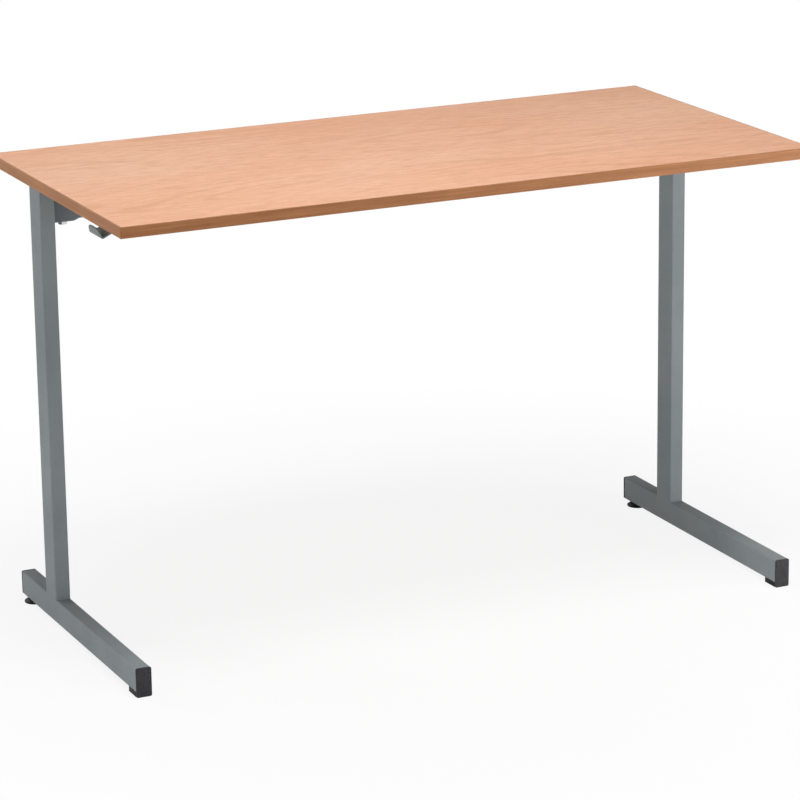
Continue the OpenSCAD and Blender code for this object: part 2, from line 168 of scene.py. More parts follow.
def srgb(red: int, green: int, blue: int) -> Colour:
    """Turns a screen colour into the linear values that shaders take.

    Args:
        red: Red, from 0 to 255.
        green: Green, from 0 to 255.
        blue: Blue, from 0 to 255.

    Returns:
        The linear colour.
    """
    linear = []
    for channel in (red, green, blue):
        share = channel / 255
        linear.append(share / 12.92 if share <= 0.04045 else ((share + 0.055) / 1.055) ** 2.4)
    return linear[0], linear[1], linear[2]


@dataclass(frozen=True)
class Noise:
    """A noise pattern: units per metre on each axis or on all, finer layers and their strength."""

    scale: Point3 | float
    detail: float = 2.0
    rough: float = 0.5
    shift: Point3 = (0.0, 0.0, 0.0)


@dataclass(frozen=True)
class Layer:
    """A colour whose share goes from least to most while its pattern goes from start to end."""

    colour: Colour
    pattern: Noise
    start: float = NOISE_LOW
    end: float = NOISE_HIGH
    most: float = 1.0
    least: float = 0.0


class Tree:
    """A node tree under construction, with short calls for its usual nodes."""

    def __init__(self, tree: bpy.types.NodeTree) -> None:
        """Starts with the tree of a material or a world."""
        self.tree = tree

    def node(self, kind: str, *values: Value | Point3, **settings: object) -> bpy.types.Node:
        """Adds a node.

        Args:
            kind: The node's type.
            values: What goes into its first inputs, in order.
            settings: Its properties by name.

        Returns:
            The node.
        """
        made = self.tree.nodes.new(kind)
        for name, setting in settings.items():
            setattr(made, name, setting)
        for socket, value in zip(made.inputs, values):
            self.feed(socket, value)
        return made

    def feed(self, target: Socket, value: Value | Point3) -> None:
        """Links a socket to an input, or sets the input to a number, a colour or a vector.

        Args:
            target: The input.
            value: What goes into it.
        """
        if isinstance(value, bpy.types.NodeSocket):
            self.tree.links.new(value, target)
        elif isinstance(value, tuple) and target.type == "RGBA":
            target.default_value = (*value, 1.0)
        else:
            target.default_value = value

    def fill(self, node: bpy.types.Node, **inputs: Value | Point3) -> bpy.types.Node:
        """Feeds a node's inputs by name.

        Args:
            node: The node.
            inputs: What goes into each input, with underscores for spaces.

        Returns:
            The node.
        """
        for name, value in inputs.items():
            self.feed(node.inputs[name.replace("_", " ")], value)
        return node

    def math(self, operation: str, first: Value, second: Value = 0.0) -> Socket:
        """Does one sum on two values."""
        return self.node("ShaderNodeMath", first, second, operation=operation).outputs[0]

    def remap(
        self, value: Value, start: float, end: float, low: float = 0.0, high: float = 1.0
    ) -> Socket:
        """Maps the range from start to end onto the one from low to high, and clamps it there."""
        made = self.node("ShaderNodeMapRange", value, start, end, low, high, clamp=True)
        return made.outputs["Result"]

    def seen(self) -> Socket:
        """Tells the rays that show a thing from those that light it.

        Returns:
            1 where it is seen directly, in gloss or through glass, and 0 elsewhere.
        """
        path = self.node("ShaderNodeLightPath")
        shown: Value = 0.0
        for ray in ("Is Camera Ray", "Is Glossy Ray", "Is Transmission Ray"):
            shown = self.math("MAXIMUM", path.outputs[ray], shown)
        return shown


class Graph(Tree):
    """The node tree of a material, drawn over the object coordinates."""

    def __init__(self, name: str) -> None:
        """Starts a material with a Principled shader.

        Args:
            name: The material's name.
        """
        self.material = bpy.data.materials.new(name)
        self.material.use_nodes = True
        super().__init__(self.material.node_tree)
        self.shader = self.tree.nodes["Principled BSDF"]
        self.place = self.node("ShaderNodeTexCoord").outputs["Object"]
        self.patterns: dict[Noise, Socket] = {}

    def stretch(self, scale: Point3, shift: Point3 = (0.0, 0.0, 0.0)) -> Socket:
        """Scales the object coordinates and then shifts them."""
        made = self.node("ShaderNodeVectorMath", self.place, scale, shift, operation="MULTIPLY_ADD")
        return made.outputs[0]

    def noise(self, pattern: Noise) -> Socket:
        """Adds a noise pattern, or finds it if the material has it already.

        Args:
            pattern: The pattern.

        Returns:
            Its value from 0 to 1.
        """
        if pattern not in self.patterns:
            scale = pattern.scale
            if isinstance(scale, float):
                scale = (scale, scale, scale)
            made = self.fill(
                self.node("ShaderNodeTexNoise"),
                Vector=self.stretch(scale, pattern.shift),
                Scale=1.0,
                Detail=pattern.detail,
                Roughness=pattern.rough,
            )
            self.patterns[pattern] = made.outputs["Fac"]
        return self.patterns[pattern]

    def vary(self, pattern: Noise, low: float, high: float) -> Socket:
        """A value that wanders between two others with the usual span of a pattern."""
        return self.remap(self.noise(pattern), NOISE_LOW, NOISE_HIGH, low, high)

    def mix(self, share: Value, first: Colour | Socket, second: Colour | Socket) -> Socket:
        """Mixes two colours.

        Args:
            share: The share of the second colour.
            first: The first colour.
            second: The second colour.

        Returns:
            The mixed colour.
        """
        made = self.node("ShaderNodeMix", data_type="RGBA")
        sockets = {socket.identifier: socket for socket in (*made.inputs, *made.outputs)}
        for name, value in (("Factor_Float", share), ("A_Color", first), ("B_Color", second)):
            self.feed(sockets[name], value)
        return sockets["Result_Color"]

    def lay(self, under: Colour | Socket, *layers: Layer, within: Socket | None = None) -> Socket:
        """Lays layers over a colour.

        Args:
            under: The colour below them.
            layers: The layers, lowest first.
            within: How much of them is let through at each point. None lets all through.

        Returns:
            The mixed colour.
        """
        for layer in layers:
            pattern = self.noise(layer.pattern)
            share = self.remap(pattern, layer.start, layer.end, layer.least, layer.most)
            if within is not None:
                share = self.math("MULTIPLY", share, within)
            under = self.mix(share, under, layer.colour)
        return under

    def axis(self, which: str) -> Socket:
        """The object coordinate X, Y or Z in metres."""
        return self.node("ShaderNodeSeparateXYZ", self.place).outputs[which]

    def corner(self) -> Socket:
        """Finds the rounded corners of a squared part, where the normal leaves the three axes.

        Returns:
            0 on flat faces, up to 1 in the middle of a rounded corner.
        """
        normal = self.node("ShaderNodeNewGeometry").outputs["Normal"]
        size = self.node("ShaderNodeVectorMath", normal, operation="ABSOLUTE").outputs[0]
        parts = self.node("ShaderNodeSeparateXYZ", size).outputs
        widest = self.math("MAXIMUM", parts["X"], parts["Y"])
        flat, round_middle = 0.985, 0.78
        return self.remap(self.math("MAXIMUM", widest, parts["Z"]), flat, round_middle)

    def bump(
        self, height: Socket, depth: float, strength: float, under: Socket | None = None
    ) -> Socket:
        """Turns a pattern into a bumpy normal.

        Args:
            height: The pattern, from 0 to 1.
            depth: Its height in metres.
            strength: How much of it shows.
            under: A bumpy normal that it lies on.

        Returns:
            The normal.
        """
        made = self.fill(
            self.node("ShaderNodeBump"), Strength=strength, Distance=depth, Height=height
        )
        if under is not None:
            self.feed(made.inputs["Normal"], under)
        return made.outputs["Normal"]

    def surface(self, **inputs: Value | Point3) -> Material:
        """Feeds the shader's inputs by name and hands over the finished material."""
        self.fill(self.shader, **inputs)
        return self.material


@dataclass(frozen=True)
class BeechLaminate:
    """Printed beech decor under a clear, finely pearled melamine face."""

    name: str = "beech_laminate"
    light: Colour = srgb(252, 202, 169)
    warm: Colour = srgb(246, 187, 152)
    line: Colour = srgb(210, 144, 106)
    glue: Colour = srgb(150, 105, 76)
    glue_share: float = 0.7
    glue_from: float = 0.35 * MM
    glue_to: float = 0.15 * MM
    patches: Noise = Noise((1.6, 5.0, 1.0))
    rings: Noise = Noise((1.15, 7.5, 1.0), 1.0, 0.35, (3.1, 7.4, 0.0))
    ring_turns: float = 92.0
    ring_share: float = 0.30
    ring_fade: Noise = Noise((2.3, 9.0, 1.0))
    streak: Noise = Noise((5.0, 130.0, 1.0), 4.0, 0.65)
    dash: Noise = Noise((34.0, 310.0, 1.0), 2.0, 0.55)
    fibre: Noise = Noise((9.0, 620.0, 1.0), 3.0, 0.65)
    fleck: Noise = Noise((150.0, 1500.0, 1.0), 1.0, 0.5)
    pearl: Noise = Noise(1400.0, 2.0, 0.6)
    wear: Noise = Noise((4.0, 6.0, 4.0), 3.0, 0.55)
    relief: float = 0.02 * MM

    def material(self) -> Material:
        """Builds the decor: patches, cathedral figure, fibres, flecks and the glue line at the rim.

        Returns:
            The material.
        """
        graph = Graph(self.name)
        wave = graph.math("SINE", graph.math("MULTIPLY", graph.noise(self.rings), self.ring_turns))
        figure = graph.remap(wave, 0.35, 1.0, 0.0, self.ring_share)
        fade = graph.remap(graph.noise(self.ring_fade), 0.42, 0.62)
        colour = graph.lay(self.light, Layer(self.warm, self.patches))
        colour = graph.mix(graph.math("MULTIPLY", figure, fade), colour, self.line)
        colour = graph.lay(
            colour,
            Layer(self.line, self.streak, 0.48, 0.78, 0.30),
            Layer(self.line, self.dash, 0.42, 0.70, 0.46),
            Layer(self.line, self.fibre, 0.45, 0.80, 0.30),
            Layer(self.line, self.fleck, 0.64, 0.74, 0.60),
        )
        colour = graph.mix(self.rim(graph), colour, self.glue)
        normal = graph.bump(graph.noise(self.pearl), self.relief, 0.35)
        return graph.surface(
            Base_Color=colour,
            Roughness=graph.vary(self.wear, 0.44, 0.54),
            Normal=graph.bump(graph.noise(self.fibre), self.relief, 0.25, normal),
            Specular_IOR_Level=0.08,
        )

    def rim(self, graph: Graph) -> Socket:
        """Marks the last quarter millimetre of the face, where glue shows against the bands.

        Args:
            graph: The material.

        Returns:
            The glue's share at each point.
        """
        share: Value = 0.0
        for axis, half in zip("XY", Box.of("top_laminate").size / 2):
            reach = graph.math("ABSOLUTE", graph.axis(axis))
            line = graph.remap(reach, half - self.glue_from, half - self.glue_to, 0.0, self.glue_share)
            share = graph.math("MAXIMUM", line, share)
        return share


@dataclass(frozen=True)
class EdgeBand:
    """Brown wood-decor edge band, paler on its arrises, partly where they are milled and rubbed and
    partly as a painted highlight.
    """

    name: str
    grain: Grain
    base: Colour = srgb(182, 125, 83)
    dark: Colour = srgb(140, 90, 54)
    # Paler colour on the arrises: partly milled and rubbed band, partly a painted highlight on the
    # rounding.
    arris: Colour = srgb(204, 151, 111)
    ragged: Noise = Noise(260.0, 3.0, 0.6)
    relief: float = 0.04 * MM

    def run(self, along: float, across: float) -> Point3:
        """A pattern's scale along and across the grain, as its scale on the three axes."""
        return (along, across, across) if self.grain is Grain.ALONG_X else (across, along, across)

    def material(self) -> Material:
        """Builds the printed grain and the pale arrises, partly a painted highlight.

        Returns:
            The material.
        """
        graph = Graph(self.name)
        fibre = Noise(self.run(5.0, 420.0), 4.0, 0.65)
        patch = Noise(self.run(9.0, 60.0))
        pore = Noise(self.run(60.0, 1600.0), 1.0)
        colour = graph.lay(
            self.base,
            Layer(self.dark, fibre, 0.32, 0.70, 0.75),
            Layer(self.dark, patch, 0.35, 0.70, 0.40),
            Layer(self.dark, pore, 0.62, 0.74, 0.45),
        )
        # Lightens the rounded arrises, partly as wear and partly as a painted highlight.
        arris = Layer(self.arris, self.ragged, 0.2, 0.6, 0.30, 0.05)
        return graph.surface(
            Base_Color=graph.lay(colour, arris, within=graph.corner()),
            Roughness=graph.vary(self.ragged, 0.42, 0.56),
            Normal=graph.bump(graph.noise(fibre), self.relief, 0.5),
            Specular_IOR_Level=0.15,
        )


@dataclass(frozen=True)
class PowderCoat:
    """Grey powder coat with orange peel; its rounded corners are lighter, partly worn thin and partly a
    painted highlight.
    """

    name: str
    base: Colour = srgb(141, 147, 149)
    shade: Colour = srgb(128, 135, 138)
    # Pale grains of the coat; on the rounded corners it is wear and also a painted highlight.
    rubbed: Colour = srgb(168, 174, 176)
    scuff: Colour = srgb(96, 99, 100)
    cloud: Noise = Noise(6.0, 3.0, 0.55)
    speckle: Noise = Noise(950.0, 3.0, 0.65)
    marks: Noise = Noise((46.0, 46.0, 13.0), 4.0, 0.7)
    ragged: Noise = Noise(160.0, 4.0, 0.65)
    peel: Noise = Noise(520.0)
    peel_depth: float = 0.03 * MM
    scuff_height: float = 160 * MM
    corner_dulling: float = 0.24

    def material(self) -> Material:
        """Builds the coat: cloudiness, fine speckle, orange peel, rubbed corners with a painted
        highlight and light scuffs.

        Returns:
            The material.
        """
        graph = Graph(self.name)
        corner = graph.corner()
        low = graph.remap(graph.axis("Z"), self.scuff_height, 0.0)
        colour = graph.lay(
            self.base,
            Layer(self.shade, self.cloud),
            Layer(self.rubbed, self.speckle, 0.50, 0.72, 0.32),
            Layer(self.scuff, self.speckle, 0.50, 0.28, 0.32),
        )
        colour = graph.lay(colour, Layer(self.scuff, self.marks, 0.66, 0.74, 0.5), within=low)
        # Lightens the rounded corners: partly a worn thin coat, partly a painted highlight.
        worn_corner_highlight = Layer(self.rubbed, self.ragged, 0.35, 0.7, 0.20, 0.06)
        duller = graph.math("MULTIPLY", corner, self.corner_dulling)
        return graph.surface(
            Base_Color=graph.lay(colour, worn_corner_highlight, within=corner),
            Roughness=graph.math("ADD", graph.vary(self.cloud, 0.40, 0.50), duller),
            Normal=graph.bump(graph.noise(self.peel), self.peel_depth, 0.45),
            Specular_IOR_Level=0.03,
        )


@dataclass(frozen=True)
class MouldedPlastic:
    """Dark moulded plastic with a spark-eroded texture and dulled edges."""

    name: str
    base: Colour
    worn: Colour
    rough: float = 0.55
    rough_spread: float = 0.06
    # Painted shade near the floor, under the foot tubes and behind the shoes' end plates.
    sole: Colour = srgb(26, 26, 28)
    sole_fade: float = 0.4 * MM
    sole_lap: float = 0.1 * MM
    texture: Noise = Noise(1500.0, 2.0, 0.6)
    texture_depth: float = 0.05 * MM
    flow: Noise = Noise((160.0, 160.0, 45.0), 3.0, 0.6)
    dust: Noise = Noise(420.0, 4.0, 0.7)

    def material(self) -> Material:
        """Builds the fine mould texture, flow marks, pale edges and the painted shade under the foot.

        Returns:
            The material.
        """
        graph = Graph(self.name)
        colour = graph.lay(
            self.base,
            Layer(self.worn, self.flow, 0.35, 0.7, 0.30),
            Layer(self.worn, self.dust, 0.48, 0.70, 0.55),
        )
        edge = Layer(self.worn, self.dust, 0.4, 0.7, 0.35)
        colour = graph.lay(colour, edge, within=graph.corner())
        low, high = self.rough - self.rough_spread, self.rough + self.rough_spread
        return graph.surface(
            # Darkens what lies under the foot: painted shade.
            Base_Color=graph.mix(self.under_foot(graph), colour, self.sole),
            Roughness=graph.vary(self.flow, low, high),
            Normal=graph.bump(graph.noise(self.texture), self.texture_depth, 0.5),
            Specular_IOR_Level=0.12,
        )

    def under_foot(self, graph: Graph) -> Socket:
        """Marks where shade is painted: what lies under the foot tubes and behind the shoes' end plates.

        Args:
            graph: The material.

        Returns:
            1 there and 0 elsewhere.
        """
        edge = Box.of("left_foot_tube").low
        below = graph.remap(graph.axis("Z"), edge.z + self.sole_lap, edge.z - self.sole_fade)
        behind = graph.remap(graph.axis("Y"), edge.y - self.sole_fade, edge.y + self.sole_lap)
        return graph.math("MULTIPLY", below, behind)


@dataclass(frozen=True)
class ZincSteel:
    """Bright zinc plate with a faint passivated bloom and fine turning marks."""

    name: str = "zinc"
    base: Colour = srgb(205, 207, 208)
    bloom: Colour = srgb(178, 172, 150)
    dull: Colour = srgb(140, 143, 146)
    patch: Noise = Noise(260.0, 3.0, 0.6)
    spot: Noise = Noise(900.0, 3.0, 0.65)
    scratch: Noise = Noise((700.0, 700.0, 5200.0), 2.0, 0.6)
    scratch_depth: float = 0.015 * MM

    def material(self) -> Material:
        """Builds the bloom, the dull spots and the fine scratches.

        Returns:
            The material.
        """
        graph = Graph(self.name)
        bloom = Layer(self.bloom, self.patch, 0.42, 0.7, 0.5)
        return graph.surface(
            Base_Color=graph.lay(self.base, bloom, Layer(self.dull, self.spot, 0.5, 0.75, 0.6)),
            Metallic=0.9,
            Roughness=graph.vary(self.spot, 0.28, 0.46),
            Normal=graph.bump(graph.noise(self.scratch), self.scratch_depth, 0.5),
        )


@dataclass(frozen=True)
class Chipboard:
    """Pressed wood chips, seen only where the board is drilled or cut."""

    name: str = "chipboard"
    light: Colour = srgb(205, 172, 128)
    dark: Colour = srgb(150, 112, 72)
    chip_scale: Point3 = (320.0, 320.0, 900.0)
    chip_depth: float = 0.3 * MM

    def material(self) -> Material:
        """Builds chips of several tones with gaps between them.

        Returns:
            The material.
        """
        graph = Graph(self.name)
        chips = graph.fill(
            graph.node("ShaderNodeTexVoronoi"), Vector=graph.stretch(self.chip_scale), Scale=1.0
        )
        tone = graph.node("ShaderNodeSeparateColor", chips.outputs["Color"])
        return graph.surface(
            Base_Color=graph.mix(tone.outputs[0], self.light, self.dark),
            Roughness=0.9,
            Normal=graph.bump(chips.outputs["Distance"], self.chip_depth, 0.6),
        )


@dataclass(frozen=True)
class BackingLaminate:
    """Plain off-white balancing laminate with a faint paper mottle."""

    name: str = "backing"
    base: Colour = srgb(222, 214, 200)
    mottle: Colour = srgb(204, 194, 178)
    smudge: Colour = srgb(186, 176, 160)
    paper: Noise = Noise((55.0, 110.0, 55.0), 4.0, 0.65)
    handling: Noise = Noise((7.0, 9.0, 7.0), 4.0, 0.6)
    pearl: Noise = Noise(900.0, 2.0, 0.6)
    pearl_depth: float = 0.03 * MM

    def material(self) -> Material:
        """Builds the mottle, a few handling smudges and the matt pearl.

        Returns:
            The material.
        """
        graph = Graph(self.name)
        mottle = Layer(self.mottle, self.paper, 0.35, 0.7, 0.8)
        smudge = Layer(self.smudge, self.handling, 0.56, 0.74, 0.5)
        return graph.surface(
            Base_Color=graph.lay(self.base, mottle, smudge),
            Roughness=graph.vary(self.handling, 0.5, 0.62),
            Normal=graph.bump(graph.noise(self.pearl), self.pearl_depth, 0.4),
        )


class Finishes:
    """The desk's finishes, each made once."""

    def __init__(self) -> None:
        """Builds every material."""
        self.top = BeechLaminate().material()
        self.long_band = EdgeBand("edge_band_long", Grain.ALONG_X).material()
        brown = srgb(184, 125, 79)
        self.end_band = EdgeBand("edge_band_end", Grain.ALONG_Y, brown, srgb(143, 91, 53)).material()
        self.backing = BackingLaminate().material()
        self.core = Chipboard().material()
        self.frame = PowderCoat("frame_paint").material()
        self.hook = PowderCoat("hook_paint", srgb(146, 150, 145)).material()
        # A darker copy of the frame paint: painted shade on the bracket under the board.
        self.bracket = PowderCoat("bracket_paint", srgb(116, 121, 125), srgb(104, 109, 113)).material()
        self.cap = MouldedPlastic("black_plastic", srgb(51, 50, 53), srgb(80, 79, 82)).material()
        # A darker copy of the cap plastic: painted shade on the rear caps.
        self.rear_cap = MouldedPlastic("rear_cap_plastic", srgb(34, 33, 36), srgb(52, 51, 54)).material()
        self.glide = MouldedPlastic("glide_plastic", srgb(30, 30, 32), srgb(58, 58, 60), 0.42).material()
        self.zinc = ZincSteel().material()


def rounded_outline(width: float, height: float, radius: float, steps: int = 6) -> list[Point2]:
    """Walks round a rectangle with arcs at its corners.

    Args:
        width: The full width.
        height: The full height.
        radius: The corner radius.
        steps: The number of chords in each arc.

    Returns:
        The outline's points, anticlockwise.
    """
    points = []
    for turn, (sx, sy) in enumerate(((1, 1), (-1, 1), (-1, -1), (1, -1))):
        cx = sx * (width / 2 - radius)
        cy = sy * (height / 2 - radius)
        for step in range(steps + 1):
            angle = math.pi / 2 * (turn + step / steps)
            points.append((cx + radius * math.cos(angle), cy + radius * math.sin(angle)))
    return points


def circle_outline(radius: float, count: int) -> list[Point2]:
    """Walks round a circle, anticlockwise, in a number of points."""
    turns = [2 * math.pi * index / count for index in range(count)]
    return [(radius * math.cos(turn), radius * math.sin(turn)) for turn in turns]


def lift(outline: Sequence[Point2], height: float, place: Matrix) -> Ring:
    """Lifts an outline to a height over its own plane and places it."""
    return [place @ Vector((u, v, height)) for u, v in outline]


@dataclass(frozen=True)
class Plate:
    """A rectangle with rounded corners that can be drawn in."""

    width: float
    height: float
    corner: float
    least_corner: float

    def inset(self, distance: float) -> list[Point2]:
        """The outline drawn in by a distance."""
        corner = max(self.corner - distance, self.least_corner)
        return rounded_outline(self.width - 2 * distance, self.height - 2 * distance, corner)


@dataclass(frozen=True)
class Thread:
    """A thread: the radius over its crests, the rise of one turn and its depth."""

    radius: float
    pitch: float
    depth: float
    around: int = 36
    rows_per_turn: int = 10
    valley_depth: float = 1.25
    flank_slope: float = 4.0

    def rings(self, length: float, place: Matrix) -> list[Ring]:
        """Draws a threaded shank with a chamfer at both ends.

        Args:
            length: The shank's length.
            place: The matrix that places it.

        Returns:
            Its rings from end to end.
        """
        rows = round(length / self.pitch * self.rows_per_turn)
        rings = []
        for row in range(rows + 1):
            height = length * row / rows
            end_cut = max(0.0, self.depth - min(height, length - height))
            outline = []
            for index in range(self.around):
                turn = index / self.around
                phase = (height / self.pitch - turn) % 1.0
                valley = self.valley_depth - abs(phase - 0.5) * self.flank_slope
                valley = min(1.0, max(0.0, valley))
                reach = self.radius - max(self.depth * valley, end_cut)
                angle = 2 * math.pi * turn
                outline.append((reach * math.cos(angle), reach * math.sin(angle)))
            rings.append(lift(outline, height, place))
        return rings


class Sketch:
    """Points and faces of one piece, gathered before its mesh is made."""

    def __init__(self) -> None:
        """Starts an empty sketch."""
        self.points: list[Vector] = []
        self.faces: list[tuple[int, ...]] = []

    def loft(self, rings: Sequence[Ring], joined: bool = False) -> None:
        """Adds a skin over rings of equal length, closed at both ends or joined end to start.

        Args:
            rings: The rings in order.
            joined: Whether the last ring is skinned to the first instead of capping both.
        """
        start = len(self.points)
        count = len(rings[0])
        for ring in rings:
            self.points.extend(ring)
        pairs = len(rings) if joined else len(rings) - 1
        for row in range(pairs):
            here = start + row * count
            there = start + (row + 1) % len(rings) * count
            for index in range(count):
                after = (index + 1) % count
                self.faces.append((here + index, here + after, there + after, there + index))
        if not joined:
            last = start + (len(rings) - 1) * count
            self.faces.append(tuple(range(start, start + count)))
            self.faces.append(tuple(range(last, last + count)))

    def lathe(
        self, profile: Sequence[Point2], place: Matrix, count: int = 64, joined: bool = False
    ) -> None:
        """Adds a turned shape.

        Args:
            profile: Radius and height of each ring.
            place: The matrix that places it.
            count: The number of points round it.
            joined: Whether the profile is a closed line round a bore.
        """
        rings = [lift(circle_outline(radius, count), height, place) for radius, height in profile]
        self.loft(rings, joined)

    def prism(
        self, plate: Plate, length: float, place: Matrix, start: float, end: float, steps: int = 4
    ) -> None:
        """Adds a prism with rounded ends.

        Args:
            plate: Its section.
            length: Its length.
            place: The matrix that places it.
            start: The rounding radius at its start.
            end: The rounding radius at its end.
            steps: The number of chords in each rounding.
        """
        quarter = [math.pi / 2 * step / steps for step in range(steps + 1)]
        rings = []
        for angle in quarter:
            height = start * (1 - math.cos(angle))
            rings.append(lift(plate.inset(start * (1 - math.sin(angle))), height, place))
        for angle in reversed(quarter):
            height = length - end * (1 - math.cos(angle))
            rings.append(lift(plate.inset(end * (1 - math.sin(angle))), height, place))
        self.loft(rings)

    def mirror(self) -> "Sketch":
        """Draws the same shape on the other side of the desk.

        Returns:
            The mirrored sketch.
        """
        other = Sketch()
        other.points = [Vector((-p.x, p.y, p.z)) for p in self.points]
        other.faces = [tuple(reversed(face)) for face in self.faces]
        return other

    def piece(self, name: str, finish: Material, sharp: float = 32.0) -> bpy.types.Object:
        """Makes the mesh object.

        Args:
            name: The object's name.
            finish: Its material.
            sharp: The angle in degrees above which an edge stays sharp.

        Returns:
            The object, linked to the scene.
        """
        mesh = bpy.data.meshes.new(name)
        mesh.from_pydata(self.points, [], self.faces)
        shape = bmesh.new()
        shape.from_mesh(mesh)
        bmesh.ops.recalc_face_normals(shape, faces=shape.faces)
        shape.to_mesh(mesh)
        shape.free()
        mesh.shade_smooth()
        mesh.set_sharp_from_angle(angle=math.radians(sharp))
        mesh.materials.append(finish)
        made = bpy.data.objects.new(name, mesh)
        bpy.context.scene.collection.objects.link(made)
        return made

    def settle(
        self, node: str, finish: Material, slot: str, sharp: float = 32.0, body: str = BODY
    ) -> None:
        """Makes the piece that stands for a CAD node and fixes it to its body.

        Args:
            node: The CAD node that it replaces.
            finish: Its material.
            slot: The record's material slot; it is not used.
            sharp: The angle in degrees above which an edge stays sharp.
            body: The CAD body that it rides on.
        """
        piece = self.piece(f"{node}_detail", finish, sharp)
        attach(piece, body)
        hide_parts(node)
        LOG.info("%s: %d faces on %s", piece.name, len(piece.data.polygons), body)


def dress(nodes: dict[str, bpy.types.Object], finish: Material, *names: str) -> None:
    """Gives CAD nodes a finish and leaves their meshes as they are.

    Args:
        nodes: The CAD nodes by name.
        finish: The material.
        names: The names of the nodes to dress.
    """
    for name in names:
        slots = nodes[name].data.materials
        for index in range(len(slots)):
            slots[index] = finish
        LOG.info("%s: CAD mesh with finish %s", name, finish.name)


@dataclass
class Desktop:
    """The laminated board with its edge bands."""

    nodes: dict[str, bpy.types.Object]
    finishes: Finishes

    def build(self) -> None:
        """Dresses the laminates, the core and the bands."""
        dress(self.nodes, self.finishes.top, "top_laminate")
        dress(self.nodes, self.finishes.backing, "backing_laminate")
        dress(self.nodes, self.finishes.core, "board_core")
        dress(self.nodes, self.finishes.long_band, "front_edge_band", "back_edge_band")
        dress(self.nodes, self.finishes.end_band, "left_edge_band", "right_edge_band")


@dataclass
class WeldBead:
    """A fillet bead with overlapping ripples along the corner of two faces.

    The wall and the floor are the directions in which those faces leave the corner.
    """

    start: Vector
    end: Vector
    wall: Vector
    floor: Vector
    leg: float
    seed: int
    ripple_share: float = 0.42
    rows_per_ripple: int = 6
    least_rows: int = 12
    valley: float = 0.86
    swell: float = 0.10
    wander: float = 0.05
    end_share: float = 0.7
    end_least: float = 0.05
    bow: float = 0.225
    hollow: float = 0.12
    sunk: float = 0.4 * MM
    arc_steps: int = 7

    def draw(self, sketch: Sketch) -> None:
        """Adds the bead.

        Args:
            sketch: The sketch that it goes into.
        """
        draws = random.Random(self.seed)
        run = self.end - self.start
        length = run.length
        ripple = self.ripple_share * self.leg
        rows = max(self.least_rows, round(length / ripple * self.rows_per_ripple))
        uneven = [draws.uniform(-self.wander, self.wander) for _ in range(rows + 1)]
        rings = []
        for row in range(rows + 1):
            along = length * row / rows
            phase = along / ripple % 1.0
            near = min(1.0, min(along, length - along) / (self.end_share * self.leg))
            taper = math.sqrt(max(self.end_least, 1 - (1 - near) ** 2))
            share = self.valley + self.swell * math.sqrt(1 - phase) + uneven[row]
            centre = self.start + run * (row / rows)
            rings.append(self.section(centre, run / length, self.leg * taper * share))
        sketch.loft(rings)

    def section(self, centre: Vector, along: Vector, reach: float) -> Ring:
        """Draws one slice of the bead, bowed forward in its middle like a frozen ripple.

        Args:
            centre: The corner point at this slice.
            along: The bead's direction.
            reach: How far the slice reaches up each side of the corner.

        Returns:
            The slice.
        """
        ring = [centre - (self.wall + self.floor) * self.sunk]
        for step in range(self.arc_steps + 1):
            angle = math.pi / 2 * step / self.arc_steps
            belly = math.sin(2 * angle)
            side = self.floor * math.cos(angle) + self.wall * math.sin(angle)
            out = side * reach * (1 - self.hollow * belly)
            ring.append(centre + out + along * (self.bow * reach * belly))
        ring[1] = ring[1] - self.wall * self.sunk
        ring[-1] = ring[-1] - self.floor * self.sunk
        return ring


